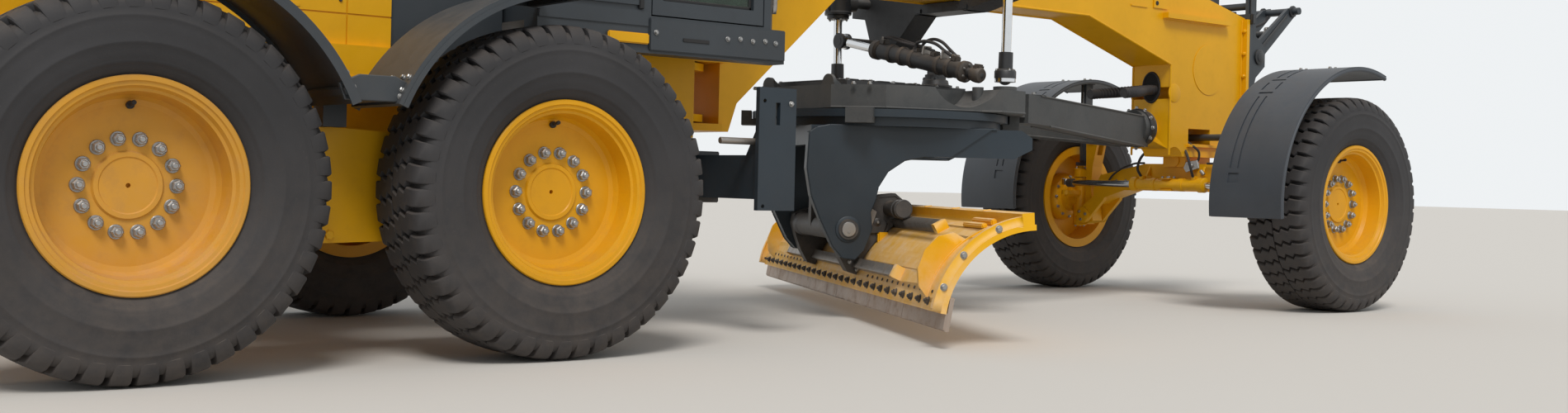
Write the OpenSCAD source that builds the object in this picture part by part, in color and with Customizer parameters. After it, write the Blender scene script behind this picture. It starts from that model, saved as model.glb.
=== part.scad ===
// Motor grader: articulated six-wheel machine with a blade hung from a turning circle.
// Lengths are millimetres. +X points forward, +Y to the machine's left, +Z up.
// Parts are drawn from a datum on the ground below the middle of the rear tandem.

/* [Chassis] */
// Front axle to the middle of the rear tandem
wheelbase = 6200; // [6100:20:6300]
// Distance between the two rear wheels of one side
tandem_spacing = 1570; // [1540:10:1600]
// Middle of a rear tyre from the centreline
rear_track = 1020; // [1010:5:1050]
// Middle of a front tyre from the centreline
front_track = 1080; // [1070:5:1100]
// Articulation pin ahead of the middle of the tandem
hitch_x = 2080; // [2060:5:2100]
// Width of the gooseneck box section
neck_w = 300; // [280:10:320]
// Underside of the level part of the gooseneck
neck_z = 1745; // [1730:5:1760]
// Depth of the gooseneck box section
neck_depth = 380; // [340:10:400]

/* [Wheels] */
// Tyre diameter over the tread lugs
tyre_d = 1290; // [1270:5:1310]
// Tyre width over the sidewalls
tyre_w = 400; // [380:5:410]
// Diameter over the rim flanges
rim_d = 712; // [700:2:724]
// Depth of the wheel disc below the outer rim flange
dish = 130; // [110:5:140]
// Lugs around each tyre
lug_count = 30; // [26:2:32]
// Wheel nuts on each wheel
nut_count = 14; // [8:1:16]
// Pitch circle diameter of the wheel nuts
nut_pcd = 310; // [290:5:330]

/* [Cab and hood] */
// Half width of the cab
cab_y = 800; // [780:5:810]
// Rear wall of the cab
cab_rear = 850; // [840:5:860]
// Windscreen of the cab
cab_front = 2150; // [2140:2:2152]
// Top of the cab roof
cab_top = 3200; // [3100:10:3260]
// Thickness of the cab walls and doors
cab_wall = 60; // [50:2:70]
// Half width of the hood
hood_y = 560; // [540:5:600]
// Top of the hood
hood_top = 2000; // [1940:10:2060]
// Thickness of the hood sheet with its frame
hood_wall = 40; // [30:2:50]

/* [Blade] */
// Length of the moldboard
blade_l = 3660; // [3500:20:3700]
// Radius of the moldboard's back
blade_r = 450; // [440:2:460]
// Thickness of the moldboard plate
blade_t = 25; // [20:1:30]
// Angle of the blade to the axle line, left end forward
blade_angle = 26; // [20:1:30]
// Outer radius of the circle
circle_r = 700; // [680:5:710]

/* [Hidden] */

$fn = 48;
yellow = "#f2ab0c";
charcoal = "#343b44";
dark = "#24272b";
steel = "#9a9c9e";
chrome = "#d8dadc";

// Clearances
seat = 0.3; // two pieces that rest on each other
run = 0.06; // radial clearance of a pin in its bore
clear = 6; // moving pieces that pass each other

// Overall reach and the frame of the whole machine
rear_end = -1800;
front_end = wheelbase + 1050;
mid_x = (rear_end + front_end) / 2;
axle_z = tyre_d / 2;

// Helpers for placing and for round stock along each axis
module in_place() {
    translate([-mid_x, 0, 0]) children();
}
module rod_y(r, l, fn = 48) {
    rotate([90, 0, 0]) cylinder(r = r, h = l, center = true, $fn = fn);
}
module rod_x(r, l, fn = 48) {
    rotate([0, 90, 0]) cylinder(r = r, h = l, center = true, $fn = fn);
}
// A plate drawn as an outline in X and Z and given a width along Y
module side_plate(w) {
    rotate([90, 0, 0]) linear_extrude(w, center = true) children();
}
// A box from one corner to the other
module block(a, b) {
    translate(a) cube(b - a);
}
module both_sides() {
    children();
    mirror([0, 1, 0]) children();
}
module on_side(s) {
    if (s > 0) children();
    else mirror([0, 1, 0]) children();
}

// Wheels: the disc faces outward along +Y, and the wheel's middle plane is at zero
rim_barrel_r = 320;
rim_half_w = 160;
flange_t = 15;
disc_t = 16;
disc_y = rim_half_w - dish;
hub_gap_y = disc_y - disc_t - seat;
hub_r = 108;
hub_step = 9;
tread_r = tyre_d / 2;

module rim_shape() {
    color(yellow) difference() {
        union() {
            rotate([-90, 0, 0]) rotate_extrude($fn = 72) polygon([
                [rim_barrel_r - 20, -rim_half_w], [rim_d / 2, -rim_half_w],
                [rim_d / 2, -rim_half_w + flange_t], [rim_barrel_r, -rim_half_w + flange_t],
                [rim_barrel_r, rim_half_w - flange_t], [rim_d / 2, rim_half_w - flange_t],
                [rim_d / 2, rim_half_w - 4], [rim_d / 2 - 4, rim_half_w], [rim_d / 2 - 18, rim_half_w],
                [rim_d / 2 - 22, rim_half_w - 6], [rim_barrel_r + 2, rim_half_w - 8],
                [rim_barrel_r - 6, rim_half_w - 24], [rim_barrel_r - 16, rim_half_w - 28],
                [rim_barrel_r - 26, disc_y + 28], [rim_barrel_r - 38, disc_y + 6], [rim_barrel_r - 56, disc_y],
                [hub_r + 6, disc_y], [hub_r, disc_y + hub_step], [hub_r - 14, disc_y + hub_step],
                [hub_r - 18, disc_y + hub_step - 4], [0, disc_y + hub_step - 4],
                [0, disc_y - disc_t], [rim_barrel_r - 20, disc_y - disc_t]]);
            for (i = [0:nut_count - 1])
                rotate([0, i * 360 / nut_count, 0]) translate([nut_pcd / 2, disc_y + 10, 0])
                    rod_y(17, 28, 6);
        }
        rod_y(8, 2 * rim_half_w);
    }
}
// Tyre: rings of points from bead to bead. A plain ring has one point to a lug, and the two tread rings
// have four, so that each lug stands out from the groove beside it. The lugs run slantwise across.
lug_h = 26;
lug_share = 0.56;
lug_slant = 5;
pitch = 360 / lug_count;
bead_y = rim_half_w - flange_t - seat;
half_w = tyre_w / 2;
to_corner = 1 / cos(pitch / 2);
// columns: radius, place across
plain_rings = [
    [(rim_barrel_r + seat) * to_corner, -bead_y],
    [(rim_d / 2 + 4) * to_corner, -bead_y],
    [rim_d / 2 + 105, -half_w],
    [tread_r - 62, -half_w + 6],
];
function plain(ring, side) = [for (i = [0:lug_count - 1])
    let (a = i * pitch + pitch / 2 - 90) [ring[0] * cos(a), side * ring[1], ring[0] * sin(a)]];
function lugged(y, turn) = [for (i = [0:lug_count - 1], k = [0:3])
    let (w = pitch * lug_share / 2,
        a = i * pitch - 90 + turn + [-w, w, w + 1.2, pitch - w - 1.2][k],
        r = k < 2 ? tread_r : tread_r - lug_h)
    [r * cos(a), y, r * sin(a)]];
// faces between two rings of equal count, and between a plain ring and a tread ring
function band(from, to, n) = [for (i = [0:n - 1]) let (j = (i + 1) % n)
    each [[from + i, to + i, to + j], [from + i, to + j, from + j]]];
function fan(ring, tread, flip) = [for (i = [0:lug_count - 1]) let (j = (i + 1) % lug_count, b = tread + 4 * i,
        corners = [ring + (i + lug_count - 1) % lug_count, b, b + 1, b + 2, b + 3, tread + 4 * j, ring + i])
    each [for (t = [[0, 1, 2], [0, 2, 6], [6, 2, 3], [6, 3, 4], [6, 4, 5]])
        flip ? [corners[t[2]], corners[t[1]], corners[t[0]]] : [for (c = t) corners[c]]]];
module tyre_shape() {
    n = lug_count;
    points = concat(plain(plain_rings[0], 1), plain(plain_rings[1], 1), plain(plain_rings[2], 1),
        plain(plain_rings[3], 1), lugged(-half_w + 40, -lug_slant), lugged(half_w - 40, lug_slant),
        plain(plain_rings[3], -1), plain(plain_rings[2], -1), plain(plain_rings[1], -1),
        plain(plain_rings[0], -1));
    color("#2b2825") polyhedron(points, concat(band(0, n, n), band(n, 2 * n, n), band(2 * n, 3 * n, n),
        fan(3 * n, 4 * n, false), band(4 * n, 8 * n, 4 * n), fan(12 * n, 8 * n, true),
        band(12 * n, 13 * n, n), band(13 * n, 14 * n, n), band(14 * n, 15 * n, n), band(15 * n, 0, n)),
        convexity = 8);
}
module wheel_place(x, track, s) {
    in_place() translate([x, s * track, axle_z]) on_side(s) children();
}
rear_wheels = [["back", -tandem_spacing / 2], ["front", tandem_spacing / 2]];

// Rear chassis: two rails, a cross box below the cab and the ears of the articulation hitch
rail_z = [860, 1060];
rail_y = [330, 400];
hitch_box = [1450, 1900];
ear_t = 36;
upper_ear_z = 1240;
lower_ear_z = 990;
ear_r = 140;
pin_r = 45;
bumper_z = [640, 1050];

module rear_frame() {
    color(yellow) in_place() {
        difference() {
            union() {
                both_sides() block([-1640, rail_y[0], rail_z[0]], [hitch_box[0], rail_y[1], rail_z[1]]);
                for (x = [-1640, -900, 420]) block([x, -rail_y[0], rail_z[0] + 20], [x + 120, rail_y[0], rail_z[1] - 20]);
                block([hitch_box[0], -rail_y[1] - 20, 900], [hitch_box[1], rail_y[1] + 20, upper_ear_z + ear_t]);
                for (z = [lower_ear_z, upper_ear_z]) hull() {
                    translate([hitch_x, 0, z]) cylinder(r = ear_r, h = ear_t, $fn = 48);
                    block([hitch_box[1] - 40, -260, z], [hitch_box[1], 260, z + ear_t]);
                }
            }
            translate([hitch_x, 0, lower_ear_z - 1]) cylinder(r = pin_r + run, h = 400, $fn = 48);
        }
        block([rear_end, -900, bumper_z[0]], [rear_end + 160, 900, bumper_z[1] - 120]);
        both_sides() block([rear_end + 150, 300, rail_z[0]], [-1630, 420, bumper_z[1]]);
    }
}

// Tandem drive: the axle housing across the machine and a chain case on each side
case_y = [600, rear_track - tyre_w / 2 - 25];
case_r = 215;
module tandem_drive() {
    color(yellow) in_place() {
        both_sides() {
            translate([0, (case_y[0] + case_y[1]) / 2, axle_z]) side_plate(case_y[1] - case_y[0]) hull() {
                for (x = [-1, 1]) translate([x * tandem_spacing / 2, 0]) circle(r = case_r - 30, $fn = 32);
                translate([0, 10]) circle(r = case_r, $fn = 32);
            }
            for (w = rear_wheels)
                translate([w[1], (case_y[1] - 10 + rear_track + hub_gap_y) / 2, axle_z])
                    rod_y(130, rear_track + hub_gap_y - case_y[1] + 10);
        }
        translate([0, 0, axle_z]) {
            rod_y(165, 2 * case_y[0] + 20);
            rod_y(205, 420);
        }
        both_sides() block([-150, rail_y[0], axle_z + 100], [150, rail_y[1], rail_z[0] - seat]);
    }
}

// Engine: one plain block at its place between the rails
module engine_block() {
    color(dark) in_place()
        block([-1350, -rail_y[1] + 20, rail_z[1] + seat], [-250, rail_y[1] - 20, 1750]);
}

// Hood: a sheet cover over the engine, open below
hood_x = [-1740, 330];
skirt_z = 1197;
seam = 6;
seam_x = [-1180, -560, 144];
seam_z = [1315, hood_top - 96];
vent_x = -1660;
vent_step = 54;
vent_count = 8;
module engine_hood() {
    color(yellow) in_place() {
        difference() {
            translate([0, 0, rail_z[1] + seat]) linear_extrude(hood_top - rail_z[1] - seat)
                polygon([[hood_x[0], -hood_y + 60], [hood_x[0] + 80, -hood_y], [hood_x[1], -hood_y],
                    [hood_x[1], hood_y], [hood_x[0] + 80, hood_y], [hood_x[0], hood_y - 60]]);
            block([hood_x[0] + hood_wall, -hood_y + hood_wall, 0],
                [hood_x[1] - hood_wall, hood_y - hood_wall, hood_top - hood_wall]);
            // seams of the side doors and the row of cooling slots
            both_sides() {
                for (x = seam_x) block([x, hood_y - seam, skirt_z], [x + seam, hood_y + 1, hood_top - 90]);
                for (z = seam_z) block([hood_x[0] + 90, hood_y - seam, z], [hood_x[1] + 1, hood_y + 1, z + seam]);
                for (i = [0:vent_count - 1]) block([vent_x + i * vent_step, hood_y - hood_wall - 1, 1420],
                    [vent_x + i * vent_step + 26, hood_y + 1, 1800]);
            }
        }
        // lower ledge along each side
        both_sides() block([hood_x[0] + 90, hood_y - 10, rail_z[1] + seat], [hood_x[1], hood_y + 28, skirt_z]);
    }
}

// Rear grille: an upright frame with level slats behind the radiator
module rear_grille() {
    color(dark) in_place() translate([rear_end + 20, 0, 0]) {
        difference() {
            block([0, -hood_y + 60, bumper_z[1] + 20], [-seat - rear_end - 20 + hood_x[0], hood_y - 60, hood_top - 60]);
            block([-1, -hood_y + 120, bumper_z[1] + 80], [100, hood_y - 120, hood_top - 120]);
        }
        for (i = [0:9])
            block([8, -hood_y + 110, bumper_z[1] + 110 + i * 78], [24, hood_y - 110, bumper_z[1] + 140 + i * 78]);
    }
}

// Tank bay between the hood and the cab
module tank_bay() {
    color(charcoal) in_place()
        block([hood_x[1] + seat, -hood_y + 20, rail_z[1] + seat], [cab_rear - 20, hood_y - 20, hood_top - 60]);
}

// Rear fenders: arched sheets over the tandem wheels, joined by a plate on the chain case
fender_r = tyre_d / 2 + 115;
fender_t = 18;
fender_y = [rear_track - tyre_w / 2 - 15, rear_track + tyre_w / 2 + 8];
module arc_sheet(r, t, w, a0, a1) {
    rotate([90, 0, 0]) translate([0, 0, -w / 2]) rotate([0, 0, a0])
        rotate_extrude(angle = a1 - a0, $fn = 96) translate([r, 0]) square([t, w]);
}
module rear_fenders() {
    w = fender_y[1] - fender_y[0];
    color(charcoal) in_place() both_sides() {
        translate([0, (fender_y[0] + fender_y[1]) / 2, axle_z]) {
            translate([tandem_spacing / 2, 0, 0]) arc_sheet(fender_r, fender_t, w, 84, 157);
            translate([-tandem_spacing / 2, 0, 0]) arc_sheet(fender_r, fender_t, w, 23, 112);
        }
        translate([0, fender_y[0] + 20, 0]) side_plate(40)
            polygon([[-98, 960], [98, 960], [112, 1005], [60, 1040], [-60, 1040], [-112, 1005]]);
        block([-45, case_y[1] - 60, axle_z + case_r + 10 + seat], [45, fender_y[0] + 20, 985]);
    }
}

// Exhaust and intake stacks on the hood
module exhaust_stacks() {
    color(dark) in_place() {
        translate([-700, 180, hood_top + seat]) {
            cylinder(r = 90, h = 300, $fn = 32);
            cylinder(r = 55, h = 720, $fn = 32);
        }
        translate([-300, -180, hood_top + seat]) {
            cylinder(r = 60, h = 200, $fn = 32);
            translate([0, 0, 200]) cylinder(r = 110, h = 160, $fn = 32);
        }
    }
}

// Cab: a hollow frame of posts and panels on two side sills
sill_z = 1240;
floor_z = [1345, 1385];
door_x = [1400, 2010];
door_z = [floor_z[1] + 15, cab_top - 190];
header_z = cab_top - 130;
pillar = 70;
corner_cut = 120;
louvre_z = 1440;
louvre_step = 52;
louvre_count = 9;
rail_ends = [1500, 2200];
module cab_outline(inset = 0) {
    polygon([[cab_rear + inset, -cab_y + inset], [door_x[1] + 40, -cab_y + inset], [cab_front - inset, -cab_y + corner_cut + inset],
        [cab_front - inset, cab_y - corner_cut - inset], [door_x[1] + 40, cab_y - inset], [cab_rear + inset, cab_y - inset]]);
}
module cab_frame() {
    color(charcoal) in_place() {
        difference() {
            translate([0, 0, floor_z[0]]) linear_extrude(cab_top - floor_z[0]) cab_outline();
            translate([0, 0, floor_z[1]]) linear_extrude(header_z - floor_z[1]) cab_outline(cab_wall);
            // door openings on both sides
            block([door_x[0], -cab_y - 1, door_z[0]], [door_x[1], cab_y + 1, door_z[1]]);
            // rear side windows above the louvred panels
            block([cab_rear + pillar + 40, -cab_y - 1, 1950], [door_x[0] - pillar, cab_y + 1, door_z[1]]);
            // windscreen
            block([cab_front - cab_wall - 20, -cab_y + 220, floor_z[1] + 60], [cab_front + 1, cab_y - 220, door_z[1]]);
            // rear window
            block([cab_rear - 1, -cab_y + 140, 2080], [cab_rear + cab_wall + 1, cab_y - 140, door_z[1]]);
        }
        both_sides() block([cab_rear, cab_y - 110, sill_z], [cab_front - 20, cab_y, floor_z[0]]);
        both_sides() block([hitch_box[0] + 60, 250, upper_ear_z + ear_t + seat], [hitch_box[1] - 110, 380, floor_z[0]]);
        // louvres below the rear side windows, in a frame that stands on the panel
        both_sides() {
            for (i = [0:louvre_count - 1]) translate([0, cab_y - 2, louvre_z + i * louvre_step])
                block([cab_rear + 50, 0, 0], [door_x[0] - 66, 12, 24]);
            for (x = [cab_rear + 30, door_x[0] - 66])
                block([x, cab_y - 2, louvre_z - 16], [x + 20, cab_y + 12, louvre_z + louvre_count * louvre_step]);
            // grab rail at the front corner
            for (z = rail_ends) translate([cab_front + 30, cab_y - 150, z]) rotate([0, -90, 0])
                cylinder(r = 14, h = 50, $fn = 32);
            translate([cab_front + 30, cab_y - 150, rail_ends[0] - 14])
                cylinder(r = 14, h = rail_ends[1] - rail_ends[0] + 28, $fn = 32);
        }
        // hinge lugs of the doors
        both_sides() for (z = hinge_z) {
            for (e = [-51, 31]) {
                translate([hinge_x, hinge_y, z + e]) cylinder(r = hinge_r, h = 20, $fn = 32);
                block([hinge_x - 36, cab_y - 1, z + e], [hinge_x, hinge_y + hinge_r, z + e + 20]);
            }
            translate([hinge_x, hinge_y, z - 45]) cylinder(r = hinge_pin_r, h = 90, $fn = 32);
        }
    }
}

// Fixed panes, each standing in the middle of its opening
pane_t = 8;
module cab_glass() {
    zt = door_z[1] - seat;
    color("#20303455") in_place() {
        both_sides() block([cab_rear + pillar + 40 + seat, cab_y - cab_wall / 2, 1950 + seat],
            [door_x[0] - pillar - seat, cab_y - cab_wall / 2 + pane_t, zt]);
        block([cab_front - cab_wall / 2, -cab_y + 220 + seat, floor_z[1] + 60 + seat],
            [cab_front - cab_wall / 2 + pane_t, cab_y - 220 - seat, zt]);
        block([cab_rear + cab_wall / 2, -cab_y + 140 + seat, 2080 + seat],
            [cab_rear + cab_wall / 2 + pane_t, cab_y - 140 - seat, zt]);
    }
}

module operator_seat() {
    color(dark) in_place() translate([1420, 0, floor_z[1] + seat]) {
        cylinder(r = 90, h = 310, $fn = 32);
        block([-240, -250, 300], [260, 250, 430]);
        translate([-240, 0, 380]) rotate([0, -8, 0]) block([-120, -240, 0], [10, 240, 680]);
    }
}
module control_console() {
    color(dark) in_place() translate([1920, 0, floor_z[1] + seat]) {
        rotate([0, -14, 0]) translate([0, 0, -20]) block([-50, -60, 40], [60, 60, 640]);
        block([-80, -90, 0], [110, 90, 60]);
        both_sides() block([-700, 330, 0], [-300, 450, 560]);
    }
}

// A door fills its opening at the full thickness of the wall and hangs on a pin at its rear edge
door_gap = 6;
hinge_y = cab_y + 20;
hinge_x = door_x[0] + door_gap;
hinge_z = [1700, 2650];
hinge_r = 13;
hinge_pin_r = 6;
module door_shape() {
    difference() {
        block([door_x[0] + door_gap, cab_y - cab_wall, door_z[0] + door_gap],
            [door_x[1] - door_gap, cab_y, door_z[1] - door_gap]);
        block([door_x[0] + 60, 0, door_z[0] + 70], [door_x[1] - 60, cab_y + 1, door_z[1] - 70]);
    }
    for (z = hinge_z) difference() {
        union() {
            translate([hinge_x, hinge_y, z - 30]) cylinder(r = hinge_r, h = 60, $fn = 32);
            block([hinge_x, cab_y - 1, z - 30], [hinge_x + 40, hinge_y + 6, z + 30]);
        }
        translate([hinge_x, hinge_y, z - 40]) cylinder(r = hinge_pin_r + run, h = 80, $fn = 32);
    }
    block([door_x[0] + 60 + seat, cab_y - cab_wall / 2, door_z[0] + 70 + seat],
        [door_x[1] - 60 - seat, cab_y - cab_wall / 2 + pane_t, door_z[1] - 70 - seat]);
}
module door_left() {
    color(dark) in_place() door_shape();
}
module door_right() {
    color(dark) in_place() mirror([0, 1, 0]) door_shape();
}

// Ladder on the left and a grab rail at each front corner of the cab
module access_steps() {
    color(charcoal) in_place() {
        for (x = [1490, 1800]) block([x, cab_y - 60, 576], [x + 16, cab_y + 60, sill_z - seat]);
        for (z = [586, 800, 1020]) block([1506, cab_y - 50, z], [1800, cab_y + 60, z + 30]);
    }
}
// Roof work lamps, a mirror on an arm at each front corner, and a pair of lamps on the rear bumper
mirror_z = 2450;
module lamps_mirrors() {
    color(dark) in_place() both_sides() {
        for (x = [cab_rear + 120, cab_front - 200]) translate([x, cab_y - 160, cab_top + seat]) {
            block([-45, -70, 12], [45, 70, 90]);
            translate([0, 0, -seat]) cylinder(r = 16, h = 20, $fn = 32);
        }
        translate([(cab_front + door_x[1] + 40) / 2, cab_y - corner_cut / 2, mirror_z + 260])
            rotate([0, 0, atan2(cab_front - door_x[1] - 40, corner_cut)])
                translate([seat + 90, 0, 0]) rod_x(11, 180);
        translate([cab_front + 60, cab_y + 116, mirror_z]) rotate([0, 0, 10]) {
            block([-22, -85, 0], [22, 85, 330]);
        }
        translate([rear_end + 20, 620, bumper_z[1] - 120 + seat]) block([0, -90, 0], [70, 90, 80]);
    }
}

// Cross beam below the hitch with an upright drilled plate at each end
bracket_y = 950;
bracket_x = [1880, 2088];
module side_bracket() {
    color(charcoal) in_place() {
        block([1905, -bracket_y + 20, 625], [2045, bracket_y - 20, 820]);
        both_sides() difference() {
            block([bracket_x[0], bracket_y - 25, 576], [bracket_x[1], bracket_y, 1120]);
            translate([(bracket_x[0] + bracket_x[1]) / 2, bracket_y, 1005]) {
                block([-13, -40, -50], [13, 10, 50]);
            }
            for (p = [[30, 60], [178, 60], [30, 525]])
                translate([bracket_x[0] + p[0], bracket_y, 1120 - p[1]]) rod_y(9, 80);
        }
        both_sides() side_gusset();
        both_sides() block([1700, 300, 790], [1930, 400, 900 - seat]);
    }
}
module side_gusset() {
    translate([1975, bracket_y - 20, 815]) rotate([90, 0, -90]) linear_extrude(16, center = true)
        polygon([[0, 0], [190, 0], [20, 270], [0, 270]]);
}

// Front frame: hitch plates, the rising beam, the gooseneck and the column over the front axle
column_x = [wheelbase - 385, wheelbase + 400];
column_z = 925;
upper_fork_z = upper_ear_z + ear_t + 8;
lower_fork_z = lower_ear_z - ear_t - 8;
neck_front = wheelbase - 1190;
module front_frame() {
    web_x = hitch_x + ear_r + 22;
    rise = 0.845;
    low0 = [web_x, 1045];
    reach = (neck_z - 1045) / rise;
    color(yellow) in_place() {
        difference() {
            union() {
                side_plate(neck_w) polygon([
                    [web_x, lower_fork_z], [web_x + 60, lower_fork_z], [web_x + 110, 1090],
                    [web_x + reach, neck_z], [neck_front, neck_z + 12], [column_x[0], 1511],
                    [column_x[0], column_z], [wheelbase + 130, column_z], [column_x[1], column_z + 35], [column_x[1], 1870],
                    [wheelbase - 150, neck_z + 250], [wheelbase - 700, neck_z + neck_depth],
                    [web_x + (neck_z + neck_depth - 1330) / rise, neck_z + neck_depth],
                    [web_x, upper_fork_z + ear_t]]);
                for (z = [lower_fork_z, upper_fork_z]) hull() {
                    translate([hitch_x, 0, z]) cylinder(r = ear_r - 8, h = ear_t, $fn = 48);
                    block([web_x, -neck_w / 2 - 30, z], [web_x + 20, neck_w / 2 + 30, z + ear_t]);
                }
                translate([hitch_x, 0, lower_fork_z]) cylinder(r = pin_r, h = upper_fork_z + ear_t - lower_fork_z, $fn = 48);
                // side shelf below the top of the column and the flange at its front
                block([wheelbase - 480, -neck_w / 2 - 45, 1800], [wheelbase + 180, neck_w / 2 + 45, 1835]);
                block([column_x[1] - 30, -neck_w / 2 - 40, column_z + 40], [column_x[1], neck_w / 2 + 40, 1860]);
                // round cover plate on each side and the shelf below the slot
                translate([wheelbase + 10, 0, 1500]) rod_y(165, neck_w + 8);
                block([wheelbase - 205, -neck_w / 2 - 18, 990], [wheelbase + 180, neck_w / 2 + 18, 1006]);
                // hinged cover on the top of the neck
                block([neck_front - 300, -neck_w / 2 + 20, neck_z + neck_depth - 2],
                    [neck_front + 250, neck_w / 2 - 20, neck_z + neck_depth + 22]);
            }
            // round hose opening near the rear wall, and the slot low on both sides
            translate([column_x[0] + 40, 0, 1330]) rod_y(55, 2 * neck_w);
            block([wheelbase - 190, -neck_w, bar_z - 46], [wheelbase + 40, neck_w, 1108]);
            // arch at the foot of the column
            translate([column_x[0] + 55, 0, 900]) rod_y(85, 2 * neck_w);
        }
        // seat of the drawbar ball
        socket_x = (column_x[0] - ball_x + 50) / 2;
        translate([ball_x + socket_x, 0, ball_z]) difference() {
            rod_x(60, column_x[0] - ball_x - 30);
            translate([-socket_x, 0, 0]) sphere(r = ball_r + seat, $fn = 48);
        }
    }
}

// Drawbar group, drawn from the ball at its front end
ball_x = wheelbase - 460;
ball_z = 1100;
ball_r = 70;
circle_back = ball_x - hitch_x - 1370;
module from_ball() {
    in_place() translate([ball_x, 0, ball_z]) children();
}
module drawbar_ball() {
    color(steel) from_ball() sphere(r = ball_r, $fn = 48);
}
// Sizes in the drawbar's own frame
plate_z = [-10, 110];
lift_back = circle_back - 270;
lift_y = 680;
lift_z = 180;
shift_ball = [-circle_back + 150, -600, 190];
shift_ball_r = 32;
ball_end_r = 40;
foot_gap = 9;
shift_gap = 33;
ring_z = [-100, -15];
shoe_angles = [40, 140, 220, 320];
scoop_r = 190;
plate_back = -circle_back - 610;
module drawbar() {
    color(charcoal) from_ball() {
        difference() {
            union() {
                rod_x_cap();
                // two beams of the A
                both_sides() rotate([0, 0, -15]) translate([-60, 0, 0])
                    side_plate(120) polygon([
                        [0, -120], [0, 70], [-circle_back + 640, 120], [-circle_back + 640, -40], [-circle_back + 890, -45]]);
                // yoke plate over the circle
                translate([-circle_back, 0, plate_z[0]]) linear_extrude(plate_z[1] - plate_z[0]) polygon([
                    [790, -380], [530, -560], [360, -745], [180, -755], [90, -690], [-430, -520],
                    [-610, -300], [-610, 300], [-430, 520], [90, 690], [180, 755],
                    [360, 745], [530, 560], [790, 380]]);
                // pads below the feet of the lift and side-shift cylinders
                both_sides() translate([-lift_back, lift_y, plate_z[1] - 10])
                    cylinder(r = 62, h = lift_z - ball_end_r - foot_gap - plate_z[1] + 10, $fn = 48);
                for (a = shoe_angles) translate([-circle_back, 0, 0]) rotate([0, 0, a]) {
                    block([circle_r + clear, -70, ring_z[0] + 12], [circle_r + 60, 70, plate_z[0] + 1]);
                    block([circle_r - 30, -70, ring_z[0] + 12], [circle_r + 20, 70, ring_z[0] + 45]);
                }
            }
            sphere(r = ball_r + seat, $fn = 48);
            // opening in the middle of the plate, around the circle drive
            translate([-circle_back, 0, plate_z[0] - 1]) cylinder(r = 330, h = 200, $fn = 48);
            // scoop in the near edge below the side-shift cylinder
            translate([shift_ball[0] - 150, -680, 200]) rod_y(scoop_r, 380);
        }
        translate([shift_ball[0], shift_ball[1], plate_z[0] + 2])
            cylinder(r = 30, h = shift_ball[2] - shift_ball_r - shift_gap - plate_z[0] - 2, $fn = 48);
        // tie-down ears on the rear edge, each with two ribs
        both_sides() translate([plate_back + 30, 250, plate_z[1] - 1]) {
            rotate([90, 0, 90]) linear_extrude(20, center = true) difference() {
                union() {
                    polygon([[-52, 0], [-52, 10], [52, 10], [52, 0]]);
                    translate([0, 12]) circle(r = 45, $fn = 48);
                }
                translate([-80, -60]) square([160, 60]);
            }
            for (y = [-40, 30]) translate([0, y, 0]) side_plate(10) polygon([[0, 0], [60, 0], [0, 40]]);
        }
        // bolted ring of the ball cap
        for (a = [30:60:330]) rotate([a, 0, 0]) translate([-40, 0, 100]) rod_x(11, 84, 6);
    }
}
module rod_x_cap() {
    difference() {
        translate([-60, 0, 0]) rod_x(115, 110);
        translate([-5, -200, -200]) cube(400);
    }
}
module circle_drive() {
    color(dark) from_ball() translate([-circle_back + 420, 0, plate_z[1] + seat]) {
        cylinder(r = 95, h = 60, $fn = 32);
        cylinder(r = 60, h = 120, $fn = 32);
        // cover plate over the opening behind the gearbox
        block([-925, -300, 0], [-60, 300, 28]);
        block([-60, -60, 0], [0, 60, 28]);
    }
}

// Circle group, drawn from the circle's middle: X across the blade, Y along it
module from_circle() {
    from_ball() translate([-circle_back, 0, -ball_z]) rotate([0, 0, -blade_angle]) children();
}
// The arms and the blade are drawn from a line ahead of the tilt pins
module from_arms() {
    from_circle() translate([arm_back, 0, 0]) children();
}
arm_back = -45;
tilt_anchor = [330, 925];
tilt_eye = [-276, 730];
tilt_pin = [-276, 470];
arm_y = 537;
arm_t = 80;
arm_lap = 14;
tilt_pin_r = 40;
module arm_outline() {
    difference() {
        polygon([[-486, 960], [-450, 985], [-380, 1000], [660, 1000], [720, 960], [720, 900], [620, 850],
            [120, 850], [20, 830], [-70, 770], [-120, 690], [-135, 620], [-160, 560], [-150, 470],
            [-190, 365], [-235, 318], [-300, 325], [-350, 380], [-420, 520], [-470, 640], [-495, 780]]);
        translate(tilt_pin) circle(r = tilt_pin_r + run, $fn = 48);
    }
}
module turning_circle() {
    color(charcoal) from_circle() {
        translate([0, 0, ball_z]) {
            difference() {
                union() {
                    translate([0, 0, ring_z[0]]) cylinder(r = circle_r - 40, h = ring_z[1] - ring_z[0], $fn = 96);
                    translate([0, 0, ring_z[0] + 45 + seat]) cylinder(r = circle_r, h = ring_z[1] - ring_z[0] - 45 - seat, $fn = 96);
                }
                translate([0, 0, ring_z[0] - 1]) cylinder(r = circle_r - 100, h = 200, $fn = 96);
            }
        }
        translate([arm_back, 0, 0]) {
            both_sides() {
                translate([0, arm_y - arm_lap / 2, 0]) side_plate(arm_t - arm_lap) arm_outline();
                translate([0, arm_y, 0]) side_plate(arm_t) intersection() {
                    arm_outline();
                    polygon([[-600, 200], [250, 200], [250, 840], [520, 1020], [-600, 1020]]);
                }
            }
            block([-470, -arm_y, 900], [-400, arm_y, 1000]);
            translate([tilt_anchor[0], 0, tilt_anchor[1]]) rod_y(40, 2 * arm_y);
        }
    }
}

// Blade group in the circle's frame. The moldboard's back is an arc about blade_c
blade_c = [234.5, 95.1];
rail_angles = [155.6, 118];
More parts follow.
